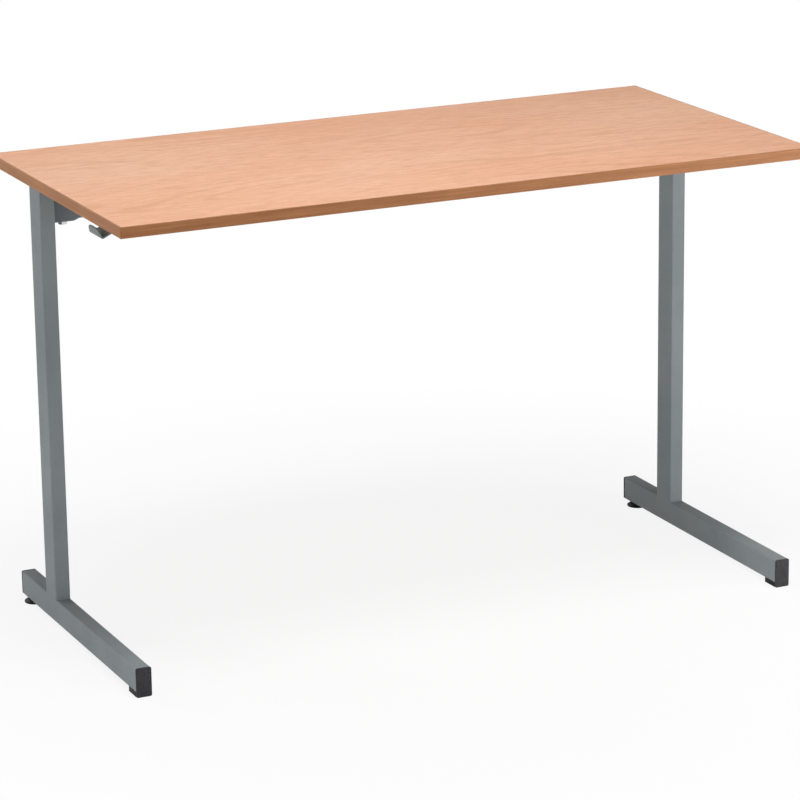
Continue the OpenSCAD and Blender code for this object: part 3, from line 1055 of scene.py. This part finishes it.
@dataclass
class SideFrame:
    """One welded side frame: upright, foot, support arm, their beads and their caps."""

    side: Side
    nodes: dict[str, bpy.types.Object]
    finishes: Finishes
    tube_corner: float = 2.5 * MM
    tube_wall: float = 1.5 * MM
    bead_leg: float = 2.5 * MM
    small_bead_leg: float = 1.5 * MM
    fill_rows: int = 30
    fill_crown: float = 0.15 * MM
    fill_seed: int = 41
    plate_thick: float = 2 * MM
    plate_round: float = 0.7 * MM
    inner_round: float = 0.1 * MM
    least_corner: float = 0.3 * MM
    plug_length: float = 14 * MM
    plug_play: float = 0.2 * MM
    plug_wall: float = 2 * MM
    plug_lead: Point2 = (0.4 * MM, 1.2 * MM)

    def __post_init__(self) -> None:
        """Reads the places of the left frame."""
        self.upright = Box.of("left_upright")
        self.foot = Box.of("left_foot_tube")
        self.arm = Box.of("left_support_arm")
        self.bracket = Box.of("left_rail_bracket")

    def name(self, piece: str) -> str:
        """The full name of a piece on this side."""
        return f"{self.side.word}_{piece}"

    def settle(
        self, sketch: Sketch, piece: str, finish: Material, slot: str, sharp: float = 32.0
    ) -> None:
        """Turns a sketch of the left side into this side's piece.

        Args:
            sketch: The shape on the left side.
            piece: The CAD node's name without its side.
            finish: The material.
            slot: The record's material slot.
            sharp: The angle in degrees above which an edge stays sharp.
        """
        drawn = sketch if self.side is Side.LEFT else sketch.mirror()
        drawn.settle(self.name(piece), finish, slot, sharp)

    def build(self) -> None:
        """Dresses the tubes and builds beads and caps."""
        tubes = [self.name(tube) for tube in ("upright", "foot_tube", "support_arm")]
        dress(self.nodes, self.finishes.frame, *tubes)
        self.build_welds()
        self.build_upright_cap()
        self.build_arm_caps()

    def build_welds(self) -> None:
        """Builds the beads at foot, arm and bracket, in front and behind, and the ground fills."""
        upright, arm, bracket = self.upright, self.arm, self.bracket
        outer, inner = upright.low.x, upright.high.x
        soft = self.tube_corner * 0.8
        leg, small = self.bead_leg, self.small_bead_leg
        seat = upright.low.z
        arm_span = arm.low.z + self.tube_corner, arm.high.z - self.tube_corner
        bracket_span = bracket.low.z + small, bracket.high.z - small * 0.3
        lines = (
            (upright, (outer + soft, seat), (inner - soft, seat), UP, leg, 11),
            (upright, (inner, arm_span[0]), (inner, arm_span[1]), -INWARD, leg, 21),
            (bracket, (inner, bracket_span[0]), (inner, bracket_span[1]), INWARD, small, 31),
        )
        sketch = Sketch()
        for box, (start_x, start_z), (end_x, end_z), wall, size, seed in lines:
            for y, away, draw in ((box.low.y, -BACK, seed), (box.high.y, BACK, seed + 1)):
                start = Vector((start_x, y, start_z))
                end = Vector((end_x, y, end_z))
                WeldBead(start, end, wall, away, size, draw).draw(sketch)
        self.add_ground_fill(sketch, outer, -1.0)
        self.add_ground_fill(sketch, inner, 1.0)
        self.settle(sketch, "frame_welds", self.finishes.frame, "frame_paint", 40.0)

    def add_ground_fill(self, sketch: Sketch, face_x: float, out: float) -> None:
        """Fills the groove over the foot's rounded corner, ground nearly flush with the upright.

        Args:
            sketch: The sketch that it goes into.
            face_x: The X of the flush faces.
            out: The sign of X away from the tube.
        """
        draws = random.Random(self.fill_seed)
        corner = self.tube_corner
        start_y = self.upright.low.y + corner * 0.4
        run = self.upright.size.y - corner * 0.8
        rings = []
        for row in range(self.fill_rows + 1):
            along = row / self.fill_rows
            near = min(along, 1 - along) * self.fill_rows / 3
            width = corner * 1.25 * min(1.0, 0.35 + near * 0.65)
            crown = self.fill_crown * draws.uniform(0.6, 1.0) * min(1.0, near)
            section = (
                (-corner * 0.9, 0.1 * MM),
                (-0.05 * MM, width * 0.3),
                (crown * 0.8, 0.0),
                (crown, -width * 0.4),
                (crown * 0.5, -width * 0.8),
                (-0.05 * MM, -width * 1.15),
            )
            y = start_y + run * along
            low = self.upright.low.z
            rings.append([Vector((face_x + out * reach, y, low + rise)) for reach, rise in section])
        sketch.loft(rings)

    def add_plug(self, sketch: Sketch, section: Vector, mouth: Vector, inward: Heading) -> None:
        """Adds the hollow plug of a cap.

        Args:
            sketch: The sketch that it goes into.
            section: The tube's width and height.
            mouth: The middle of the tube's mouth.
            inward: The direction into the tube.
        """
        width, height = (side - 2 * self.tube_wall - 2 * self.plug_play for side in section)
        lead, lead_length = self.plug_lead
        corner = self.tube_corner - self.tube_wall
        bore_width, bore_height = width - 2 * self.plug_wall, height - 2 * self.plug_wall
        outer = rounded_outline(width, height, corner)
        tapered = rounded_outline(width - 2 * lead, height - 2 * lead, corner)
        inner = rounded_outline(bore_width, bore_height, self.least_corner)
        lines = (
            (inner, 0.0),
            (outer, 0.0),
            (outer, self.plug_length - lead_length),
            (tapered, self.plug_length),
            (inner, self.plug_length),
        )
        place = inward.at(mouth)
        sketch.loft([lift(outline, depth, place) for outline, depth in lines], joined=True)

    def add_cap(
        self, sketch: Sketch, section: Vector, mouth: Vector, out: Heading, thick: float, soft: float
    ) -> None:
        """Adds a cap plate with rounded edges and its plug.

        Args:
            sketch: The sketch that it goes into.
            section: The tube's width and height.
            mouth: The middle of the tube's mouth.
            out: The direction out of the tube.
            thick: The plate's thickness.
            soft: The rounding of its outer edges.
        """
        plate = Plate(*section, self.tube_corner, self.least_corner)
        sketch.prism(plate, thick, out.at(mouth), self.inner_round, soft)
        self.add_plug(sketch, section, mouth, out.opposite)

    def build_upright_cap(self) -> None:
        """Builds the cap on the head of the upright, squeezed under the board."""
        sketch = Sketch()
        section = self.upright.size.xy
        mouth = self.upright.middle(z=self.upright.high.z)
        self.add_cap(sketch, section, mouth, Heading.UP, self.plate_thick, self.plate_round)
        self.settle(sketch, "upright_cap", self.finishes.cap, "black_plastic")

    def build_arm_caps(self) -> None:
        """Builds the caps in both ends of the arm."""
        sketch = Sketch()
        section = self.arm.size.xz
        for y, out in ((self.arm.low.y, Heading.FORWARD), (self.arm.high.y, Heading.BACK)):
            mouth = self.arm.middle(y=y)
            self.add_cap(sketch, section, mouth, out, self.plate_thick, self.plate_round)
        self.settle(sketch, "arm_caps", self.finishes.cap, "black_plastic")


@dataclass(frozen=True)
class FoldedStrip:
    """Sheet metal bent along a path, with softened edges."""

    thick: float
    edge_round: float = 0.5 * MM
    most_round_share: float = 0.4
    corner_steps: int = 3

    def slice(self, at: Vector, normal: Vector, across: Vector, span: Point2) -> Ring:
        """Draws the sheet's cross-section at one point of the path.

        Args:
            at: The path's point on the outer skin.
            normal: The direction from the outer skin into the sheet.
            across: The direction over the sheet's width.
            span: Where the sheet starts and ends along that direction.

        Returns:
            The section.
        """
        low, high = span
        width = high - low
        middle = at + across * ((low + high) / 2) + normal * (self.thick / 2)
        radius = min(self.edge_round, width * self.most_round_share)
        outline = rounded_outline(width, self.thick, radius, self.corner_steps)
        return [middle + across * u + normal * v for u, v in outline]


@dataclass(frozen=True)
class Fastening:
    """The thread and the chamfered hexagon that a bolt and its nut share."""

    thread: Thread = Thread(4 * MM, 1.25 * MM, 0.62 * MM)
    flats: float = 13 * MM
    chamfer_share: float = 0.95
    chamfer_angle: float = 28.0
    bore_play: float = 0.08 * MM
    bore_chamfer: float = 0.5 * MM
    around: int = 72

    @property
    def chamfer(self) -> float:
        """The radius of the flat face inside the chamfer."""
        return self.chamfer_share * self.flats / 2

    @property
    def bore(self) -> float:
        """The radius of a bore for the thread."""
        return self.thread.radius + self.bore_play

    def circle(self, radius: float, height: float, place: Matrix) -> Ring:
        """A round ring with the points of the hexagon's rings."""
        return lift(circle_outline(radius, self.around), height, place)

    def hexagon(self, height: float, place: Matrix, inset: float = 0.0, cut: float = 0.0) -> Ring:
        """Draws a ring along the hexagon.

        Args:
            height: Its height where it meets the chamfer's circle.
            place: The matrix that places it.
            inset: How far it is drawn in.
            cut: The way in which the chamfer runs at its corners: 0 level, 1 up, -1 down.

        Returns:
            The ring.
        """
        sixth = math.pi / 3
        slope = cut * math.tan(math.radians(self.chamfer_angle))
        ring = []
        for index in range(self.around):
            angle = 2 * math.pi * index / self.around
            reach = (self.flats - 2 * inset) / 2 / math.cos(angle % sixth - sixth / 2)
            rise = height + (reach - self.chamfer) * slope
            ring.append(place @ Vector((reach * math.cos(angle), reach * math.sin(angle), rise)))
        return ring

    def build_nut(self, node: str, finish: Material) -> None:
        """Builds a hexagon nut, chamfered outside and inside.

        Args:
            node: The CAD node that it stands for.
            finish: The material.
        """
        box = Box.of(node)
        thick = box.size.z
        place = Heading.UP.at(box.middle(z=box.low.z))
        rings = [
            self.circle(self.bore, self.bore_chamfer, place),
            self.circle(self.bore + self.bore_chamfer, 0.0, place),
            self.circle(self.chamfer, 0.0, place),
            self.hexagon(0.0, place, cut=1.0),
            self.hexagon(thick, place, cut=-1.0),
            self.circle(self.chamfer, thick, place),
            self.circle(self.bore + self.bore_chamfer, thick, place),
            self.circle(self.bore, thick - self.bore_chamfer, place),
        ]
        sketch = Sketch()
        sketch.loft(rings, joined=True)
        sketch.settle(node, finish, "zinc", 24.0)


@dataclass
class RailJoint:
    """The folded bracket on an upright, with the bolt, washer and nut that hold the rail."""

    frame: SideFrame
    finishes: Finishes
    fastening: Fastening
    sheet: float = 3 * MM
    floor_length: float = 34 * MM
    slope_rise: float = 13 * MM
    cheek_steps: int = 10
    fold_steps: int = 8
    washer_round: float = 0.25 * MM
    head_seat_round: float = 0.15 * MM
    head_dish: float = 0.35 * MM
    dish_edge_share: float = 0.86
    dish_floor_share: float = 0.80

    def __post_init__(self) -> None:
        """Reads the places of the left bracket and of this side's bolt and washer."""
        self.bracket = Box.of("left_rail_bracket")
        self.bolt = Box.of(self.frame.name("rail_bolt"))
        self.washer = Box.of(self.frame.name("rail_washer"))

    def build(self) -> None:
        """Builds the bracket and its fasteners."""
        self.build_bracket()
        self.build_bolt()
        self.build_washer()
        self.fastening.build_nut(self.frame.name("rail_nut"), self.finishes.zinc)

    def build_bracket(self) -> None:
        """Builds the bracket as one sheet folded along its two lower edges."""
        low, high = self.bracket.low, self.bracket.high
        cheek_foot = low.z + self.sheet
        half: list[tuple[Vector, Vector]] = []
        for step in range(self.cheek_steps + 1):
            z = high.z + (cheek_foot - high.z) * step / self.cheek_steps
            half.append((Vector((low.x, low.y, z)), BACK))
        centre = Vector((low.x, low.y + self.sheet, cheek_foot))
        for step in range(1, self.fold_steps + 1):
            angle = math.pi / 2 * step / self.fold_steps
            out = Vector((0, -math.cos(angle), -math.sin(angle)))
            half.append((centre + out * self.sheet, -out))
        path = list(half)
        for at, normal in reversed(half):
            other = Vector((at.x, 2 * self.bracket.middle().y - at.y, at.z))
            path.append((other, Vector((0, -normal.y, normal.z))))
        strip = FoldedStrip(self.sheet)
        rings = []
        for at, normal in path:
            rings.append(strip.slice(at, normal, INWARD, (0.0, self.reach_at(at.z - low.z))))
        sketch = Sketch()
        sketch.loft(rings)
        self.frame.settle(sketch, "rail_bracket", self.finishes.bracket, "frame_paint", 50.0)

    def reach_at(self, rise: float) -> float:
        """How far the sheet reaches from the upright at a height over the bracket's floor."""
        share = min(1.0, max(0.0, rise / self.slope_rise))
        return self.floor_length + (self.bracket.size.x - self.floor_length) * share

    def build_bolt(self) -> None:
        """Builds the hexagon bolt: chamfered head with a dished face, threaded shank."""
        size = self.fastening
        face = self.washer.low.z - self.bolt.low.z
        seat = self.bolt.middle(z=self.washer.low.z)
        place = Heading.DOWN.at(seat)
        sketch = Sketch()
        rings = [
            size.hexagon(0.0, place, inset=self.head_seat_round),
            size.hexagon(self.head_seat_round, place),
            size.hexagon(face, place, cut=-1.0),
            size.circle(size.chamfer, face, place),
            size.circle(size.chamfer * self.dish_edge_share, face, place),
            size.circle(size.chamfer * self.dish_floor_share, face - self.head_dish, place),
        ]
        sketch.loft(rings)
        sketch.loft(size.thread.rings(self.bolt.high.z - seat.z, Heading.UP.at(seat)))
        sketch.settle(self.frame.name("rail_bolt"), self.finishes.zinc, "zinc", 24.0)

    def build_washer(self) -> None:
        """Builds the plain washer with the rolled edges of a stamping."""
        outer, bore, thick = self.washer.size.x / 2, self.fastening.bore, self.washer.size.z
        soft = self.washer_round
        profile = (
            (bore, soft),
            (bore + soft, 0.0),
            (outer - soft, 0.0),
            (outer, soft),
            (outer, thick - soft),
            (outer - soft, thick),
            (bore + soft, thick),
            (bore, thick - soft),
        )
        sketch = Sketch()
        sketch.lathe(profile, Heading.UP.at(self.washer.middle(z=self.washer.low.z)), joined=True)
        sketch.settle(self.frame.name("rail_washer"), self.finishes.zinc, "zinc")


@dataclass
class FootFittings:
    """What closes and carries a foot: front shoe, rear cap and levelling glide."""

    frame: SideFrame
    finishes: Finishes
    fastening: Fastening
    plate_thick: float = 3 * MM
    plate_proud: float = 0.5 * MM
    plate_round: float = 1 * MM
    plate_back_round: float = 0.3 * MM
    pad_length: float = 36 * MM
    pad_lap: float = 0.2 * MM
    round_steps: int = 5
    cap_round: float = 1.2 * MM
    rim_high: float = 3 * MM
    rim_round: float = 1.5 * MM
    rim_steps: int = 6
    shoulder: float = 0.3 * MM
    dome_steps: int = 10
    boss: float = 8 * MM
    boss_chamfer: Point2 = (0.6 * MM, 0.5 * MM)
    stud_seat: float = 2 * MM
    stud_play: float = 0.05 * MM
    dish: Point2 = (5 * MM, 0.35 * MM)
    dish_slope: float = 0.6 * MM
    groove_from_edge: Point2 = (3 * MM, 4.2 * MM)
    groove_slope: float = 0.3 * MM
    groove_depth: float = 0.25 * MM
    gate: float = 0.6 * MM
    lap: float = 0.01 * MM

    def __post_init__(self) -> None:
        """Reads the places of the left foot and this side's glide."""
        self.foot = Box.of("left_foot_tube")
        self.base = Box.of(self.frame.name("glide_base"))
        self.stud = Box.of(self.frame.name("glide_stud"))
        self.body = self.frame.name("glide")

    def build(self) -> None:
        """Builds every fitting of the foot."""
        self.build_shoe()
        self.build_rear_cap()
        self.build_glide_base()
        self.build_glide_stud()
        self.fastening.build_nut(self.frame.name("glide_nut"), self.finishes.zinc)

    def build_shoe(self) -> None:
        """Builds the moulded shoe: a crowned end plate, the wearing pad and the plug."""
        size = self.foot.size
        corner = self.frame.tube_corner + self.plate_proud
        high = self.foot.high.z + self.plate_proud
        end = Plate(size.x + 2 * self.plate_proud, high, corner, 0.4 * MM)
        pad = Plate(size.x, self.pad_length, corner * 1.4, 0.5 * MM)
        mouth = self.foot.middle(y=self.foot.low.y)
        end_place = Heading.FORWARD.at(Vector((mouth.x, mouth.y, high / 2)))
        pad_y = mouth.y + self.pad_length / 2 - self.pad_lap
        pad_place = Heading.UP.at(Vector((mouth.x, pad_y, 0)))
        sketch = Sketch()
        sketch.prism(
            end, self.plate_thick, end_place, self.plate_back_round, self.plate_round, self.round_steps
        )
        self.frame.add_plug(sketch, size.xz, mouth, Heading.BACK)
        sketch.prism(
            pad, self.foot.low.z, pad_place, self.plate_round, self.pad_lap, self.round_steps
        )
        self.frame.settle(sketch, "front_shoe", self.finishes.cap, "black_plastic")

    def build_rear_cap(self) -> None:
        """Builds the flat cap in the rear end of the foot."""
        sketch = Sketch()
        section = self.foot.size.xz
        mouth = self.foot.middle(y=self.foot.high.y)
        head = Box.of("left_rear_cap").high.y - mouth.y
        self.frame.add_cap(sketch, section, mouth, Heading.BACK, head, self.cap_round)
        self.frame.settle(sketch, "rear_cap", self.finishes.rear_cap, "black_plastic")

    def build_glide_base(self) -> None:
        """Builds the domed base with its rim, parting line and ringed sole."""
        outer, top = self.base.size.x / 2, self.base.size.z
        round_x = outer - self.rim_round
        dish, dish_depth = self.dish
        groove_out, groove_in = (outer - reach for reach in self.groove_from_edge)
        profile = [
            (self.gate, dish_depth),
            (dish, dish_depth),
            (dish + self.dish_slope, 0.0),
            (groove_in, 0.0),
            (groove_in + self.groove_slope, self.groove_depth),
            (groove_out - self.groove_slope, self.groove_depth),
            (groove_out, 0.0),
        ]
        for step in range(self.rim_steps + 1):
            angle = math.pi / 2 * step / self.rim_steps
            rise = self.rim_round * (1 - math.cos(angle))
            profile.append((round_x + self.rim_round * math.sin(angle), rise))
        profile.append((outer, self.rim_high - 2 * self.shoulder))
        profile.append((outer - self.shoulder / 2, self.rim_high - self.shoulder))
        dome_foot = outer - self.shoulder
        inset, drop = self.boss_chamfer
        for step in range(self.dome_steps + 1):
            share = step / self.dome_steps
            rise = (top - drop - self.rim_high) * math.sin(share * math.pi / 2)
            profile.append((dome_foot - (dome_foot - self.boss) * share, self.rim_high + rise))
        bore = self.fastening.thread.radius + self.stud_play
        profile += [(self.boss - inset, top), (bore, top), (bore, self.stud_seat)]
        profile.append((self.gate, self.stud_seat))
        core = self.gate + 2 * self.lap
        core_line = ((core, dish_depth + self.lap), (core, self.stud_seat - self.lap))
        place = Heading.UP.at(self.base.middle(z=self.base.low.z))
        sketch = Sketch()
        sketch.lathe(profile, place, 96, joined=True)
        sketch.lathe(core_line, place, 24)
        node = self.frame.name("glide_base")
        sketch.settle(node, self.finishes.glide, "glide_plastic", body=self.body)

    def build_glide_stud(self) -> None:
        """Builds the threaded stud that stands in the base."""
        place = Heading.UP.at(self.stud.middle(z=self.stud.low.z))
        sketch = Sketch()
        sketch.loft(self.fastening.thread.rings(self.stud.size.z, place))
        sketch.settle(self.frame.name("glide_stud"), self.finishes.zinc, "zinc", 60.0, self.body)


@dataclass(frozen=True)
class PanHead:
    """A pan-head screw with a cross recess, screwed upward."""

    head_radius: float
    head_height: float
    thread: Thread
    seat_round: Point2 = (0.1 * MM, 0.15 * MM)
    around: int = 48
    rows: int = 14
    rim_share: float = 0.35
    pole_share: float = 0.96
    slot_width: float = 0.13
    slot_reach: float = 0.55
    slot_depth: float = 0.55
    side_fade: float = 0.06
    end_fade: float = 0.25

    def draw(self, sketch: Sketch, seat: Vector, length: float) -> None:
        """Adds the screw.

        Args:
            sketch: The sketch that it goes into.
            seat: The middle of the face that the head bears on.
            length: The length of its shank.
        """
        place = Heading.DOWN.at(seat)
        inset, rise = self.seat_round
        rings = [
            lift(circle_outline(self.head_radius - inset, self.around), 0.0, place),
            lift(circle_outline(self.head_radius, self.around), rise, place),
        ]
        for row in range(self.rows + 1):
            radius = self.head_radius * math.cos(row / self.rows * math.pi / 2 * self.pole_share)
            dome = self.dome(radius)
            outline = circle_outline(radius, self.around)
            rings.append([place @ Vector((u, v, dome - self.recess(u, v))) for u, v in outline])
        sketch.loft(rings)
        sketch.loft(self.thread.rings(length, Heading.UP.at(seat)))

    def dome(self, radius: float) -> float:
        """The height of the head at a distance from its axis."""
        fall = math.sqrt(max(0.0, 1 - min(1.0, radius / self.head_radius) ** 3))
        return self.head_height * (self.rim_share + (1 - self.rim_share) * fall)

    def recess(self, u: float, v: float) -> float:
        """Gives the depth of the cross recess at a point of the head.

        Args:
            u: The first coordinate in the head's plane.
            v: The second coordinate.

        Returns:
            The depth.
        """
        wings = []
        for along, across in ((abs(v), abs(u)), (abs(u), abs(v))):
            side = self.slope(across, self.slot_width, self.side_fade)
            wings.append(side * self.slope(along, self.slot_reach, self.end_fade))
        return self.slot_depth * self.head_height * max(wings)

    def slope(self, distance: float, edge: float, soft: float) -> float:
        """Fades from 1 inside an edge to 0 outside it, edge and fade as shares of the radius."""
        past = (distance - edge * self.head_radius) / (soft * self.head_radius)
        return min(1.0, max(0.0, 0.5 - past))


@dataclass
class BagHook:
    """The bent steel strip under an arm, with its two screws."""

    frame: SideFrame
    finishes: Finishes
    thick: float = 2.5 * MM
    edge_round: float = 0.7 * MM
    base_length: float = 35 * MM
    slope: float = 25.0
    leg: float = 17 * MM
    upper_radius: float = 2.5 * MM
    bend_radius: float = 1.5 * MM
    lean: float = 17.0
    tip: float = 12.5 * MM
    tip_corner: float = 12.5 * MM
    tip_left: float = 0.02 * MM
    run_step: float = 0.6 * MM
    turn_step: float = 6.0
    least_steps: int = 6
    screw: PanHead = PanHead(4 * MM, 2.4 * MM, Thread(2 * MM, 0.9 * MM, 0.4 * MM))

    def __post_init__(self) -> None:
        """Reads the places of the left hook and its arm."""
        self.hook = Box.of("left_bag_hook")
        self.arm = Box.of("left_support_arm")

    def build(self) -> None:
        """Builds the strip and the screws."""
        self.build_strip()
        self.build_screws()

    def path(self) -> list[tuple[float, float, float]]:
        """Walks along the strip's upper skin, outward from the inner end.

        Returns:
            For each point its distance outward, its height and its heading in degrees below level.
        """
        x, z, heading = 0.0, 0.0, 0.0
        points = [(x, z, heading)]
        plan = (
            (self.base_length, 0.0, 0.0),
            (0.0, self.slope, self.upper_radius + self.thick),
            (self.leg, 0.0, 0.0),
            (0.0, -(self.slope + 90 - self.lean), self.bend_radius),
            (self.tip, 0.0, 0.0),
        )
        for run, turn, radius in plan:
            count = max(self.least_steps, round(run / self.run_step + abs(turn) / self.turn_step))
            half = turn / count / 2
            chord = run / count if run else 2 * radius * math.sin(math.radians(abs(half)))
            for _ in range(count):
                heading += half
                x += chord * math.cos(math.radians(heading))
                z -= chord * math.sin(math.radians(heading))
                heading += half
                points.append((x, z, heading))
        return points

    def build_strip(self) -> None:
        """Builds the strip as one lofted band that narrows round its tip."""
        points = self.path()
        tip_z = points[-1][1]
        corner = self.tip_corner
        strip = FoldedStrip(self.thick, self.edge_round)
        origin = Vector((self.hook.high.x, self.hook.middle().y, self.arm.low.z))
        rings = []
        for x, z, heading in points:
            left = max(tip_z - z, self.tip_left) if heading < 0 else corner
            missing = corner - min(left, corner)
            half = self.hook.size.y / 2 - corner + math.sqrt(max(0.0, corner**2 - missing**2))
            angle = math.radians(heading)
            normal = Vector((math.sin(angle), 0, -math.cos(angle)))
            rings.append(strip.slice(origin + Vector((-x, 0, z)), normal, BACK, (-half, half)))
        sketch = Sketch()
        sketch.loft(rings)
        self.frame.settle(sketch, "bag_hook", self.finishes.hook, "hook_paint", 50.0)

    def build_screws(self) -> None:
        """Builds the two screws from below the strip."""
        add_screws(self.frame, "hook_screws", self.screw, 2, self.finishes.zinc)


@dataclass
class TopScrews:
    """The wood screws that hold the top to an arm."""

    frame: SideFrame
    finishes: Finishes
    count: int = 4
    screw: PanHead = PanHead(4.5 * MM, 3 * MM, Thread(2.25 * MM, 2 * MM, 0.7 * MM))

    def build(self) -> None:
        """Builds the screws in a row along the arm."""
        add_screws(self.frame, "top_screws", self.screw, self.count, self.finishes.zinc)


def add_screws(frame: SideFrame, piece: str, screw: PanHead, count: int, finish: Material) -> None:
    """Builds the screws of one CAD node, in a row from front to back.

    Args:
        frame: The side frame that they belong to.
        piece: The CAD node's name without its side.
        screw: The screw.
        count: How many there are.
        finish: The material.
    """
    box = Box.of(f"left_{piece}")
    first = box.low.y + screw.head_radius
    spacing = (box.size.y - 2 * screw.head_radius) / (count - 1)
    sketch = Sketch()
    for index in range(count):
        seat = box.middle(y=first + index * spacing, z=box.low.z + screw.head_height)
        screw.draw(sketch, seat, box.high.z - seat.z)
    frame.settle(sketch, piece, finish, "zinc", 28.0)


@dataclass(frozen=True)
class Lamp:
    """A rectangular softbox."""

    name: str
    at: Point3
    target: Point3
    size: Point2
    watts: float

    def build(self) -> None:
        """Hangs the softbox and turns it to its target."""
        data = bpy.data.lights.new(self.name, "AREA")
        data.shape = "RECTANGLE"
        data.size, data.size_y = self.size
        data.energy = self.watts
        lamp = bpy.data.objects.new(self.name, data)
        lamp.location = self.at
        lamp.rotation_mode = "QUATERNION"
        facing = Vector(self.target) - Vector(self.at)
        lamp.rotation_quaternion = facing.to_track_quat("-Z", "Y")
        bpy.context.scene.collection.objects.link(lamp)


@dataclass(frozen=True)
class Studio:
    """Pale floor, soft lamps, white surroundings and the camera."""

    camera_at: Point3 = (-2.406777, -5.187966, 1.977917)
    yaw: float = 24.830
    pitch: float = -16.011
    roll: float = 0.785
    lens: float = 161.10
    sensor: float = 36.0
    floor_radius: float = 14.0
    floor_thick: float = 0.01
    floor_colour: Colour = (0.93, 0.93, 0.93)
    shadow_radius: float = 0.5
    white_radius: float = 1.3
    white_at_desk: float = 0.85
    world_level: float = 0.02
    lamps: tuple[Lamp, ...] = (
        Lamp("overhead_lamp", (-0.45, -0.8, 3.2), (0.0, 0.0, 0.6), (3.2, 2.6), 16.5),
        Lamp("front_lamp", (-0.2, -0.9, 3.0), (0.0, 0.0, 0.7), (1.0, 0.8), 38.5),
        Lamp("back_left_lamp", (-1.5, 2.5, 2.1), (0.0, 0.2, 0.7), (1.5, 1.5), 19.0),
        Lamp("low_back_lamp", (-2.2, 2.5, 1.2), (-0.3, 0.2, 0.4), (1.0, 0.6), 20.0),
        Lamp("left_lamp", (-2.6, -0.4, 0.25), (-0.5, 0.0, 0.2), (1.0, 0.4), 13.5),
        Lamp("front_right_lamp", (1.2, -3.2, 1.15), (0.0, 0.1, 0.4), (0.9, 0.6), 26.0),
        Lamp("right_lamp", (1.3, -1.2, 0.36), (0.58, 0.1, 0.55), (0.5, 0.4), 10.5),
    )

    def build(self) -> None:
        """Builds the floor, the surroundings, the lamps and the camera."""
        self.build_floor()
        self.build_world()
        for lamp in self.lamps:
            lamp.build()
        self.build_camera()

    def build_floor(self) -> None:
        """Builds a round floor that shows the desk's shadow and turns white away from it."""
        sketch = Sketch()
        profile = ((self.floor_radius, -self.floor_thick), (self.floor_radius, 0.0))
        sketch.lathe(profile, Matrix.Identity(4), 96)
        graph = Graph("pale_floor")
        graph.surface(Base_Color=self.floor_colour, Roughness=1.0, Specular_IOR_Level=0.0)
        distance = graph.node("ShaderNodeVectorMath", graph.place, operation="LENGTH")
        away = distance.outputs["Value"]
        share = graph.remap(away, self.shadow_radius, self.white_radius, self.white_at_desk, 1.0)
        white = graph.math("MULTIPLY", graph.seen(), share)
        glow = graph.node("ShaderNodeEmission").outputs[0]
        blend = graph.node("ShaderNodeMixShader", white, graph.shader.outputs[0], glow)
        graph.feed(graph.tree.nodes["Material Output"].inputs["Surface"], blend.outputs[0])
        floor = sketch.piece("floor", graph.material)

    def build_world(self) -> None:
        """Lights the scene a little from all sides and shows plain white where it is seen."""
        world = bpy.data.worlds.new("studio")
        bpy.context.scene.world = world
        world.use_nodes = True
        tree = Tree(world.node_tree)
        level = tree.remap(tree.seen(), 0.0, 1.0, self.world_level, 1.0)
        tree.fill(world.node_tree.nodes["Background"], Color=(1.0, 1.0, 1.0), Strength=level)

    def build_camera(self) -> None:
        """Places the camera where the photograph was taken from."""
        yaw, pitch, roll = (math.radians(turn) for turn in (self.yaw, self.pitch, self.roll))
        level = Vector((math.sin(yaw), math.cos(yaw), 0))
        forward = level * math.cos(pitch) + UP * math.sin(pitch)
        right = Vector((math.cos(yaw), -math.sin(yaw), 0))
        down = forward.cross(right)
        turned_right = right * math.cos(roll) + down * math.sin(roll)
        turned_down = down * math.cos(roll) - right * math.sin(roll)
        data = bpy.data.cameras.new("camera")
        data.lens = self.lens
        data.sensor_width = self.sensor
        camera = bpy.data.objects.new("camera", data)
        turn = Matrix((turned_right, -turned_down, -forward)).transposed()
        camera.matrix_world = Matrix.Translation(self.camera_at) @ turn.to_4x4()
        bpy.context.scene.collection.objects.link(camera)
        bpy.context.scene.camera = camera


def main() -> None:
    """Builds the desk's looks around its CAD frame, in order."""
    logging.basicConfig(level=logging.INFO, format="%(message)s")
    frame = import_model()
    nodes = frame["nodes"]
    finishes = Finishes()
    fastening = Fastening()
    Studio().build()
    Desktop(nodes, finishes).build()
    dress(nodes, finishes.frame, "cross_rail")
    for side in Side:
        side_frame = SideFrame(side, nodes, finishes)
        side_frame.build()
        RailJoint(side_frame, finishes, fastening).build()
        FootFittings(side_frame, finishes, fastening).build()
        BagHook(side_frame, finishes).build()
        TopScrews(side_frame, finishes).build()
    bpy.context.scene.view_settings.view_transform = "Standard"


if __name__ == "__main__":
    main()
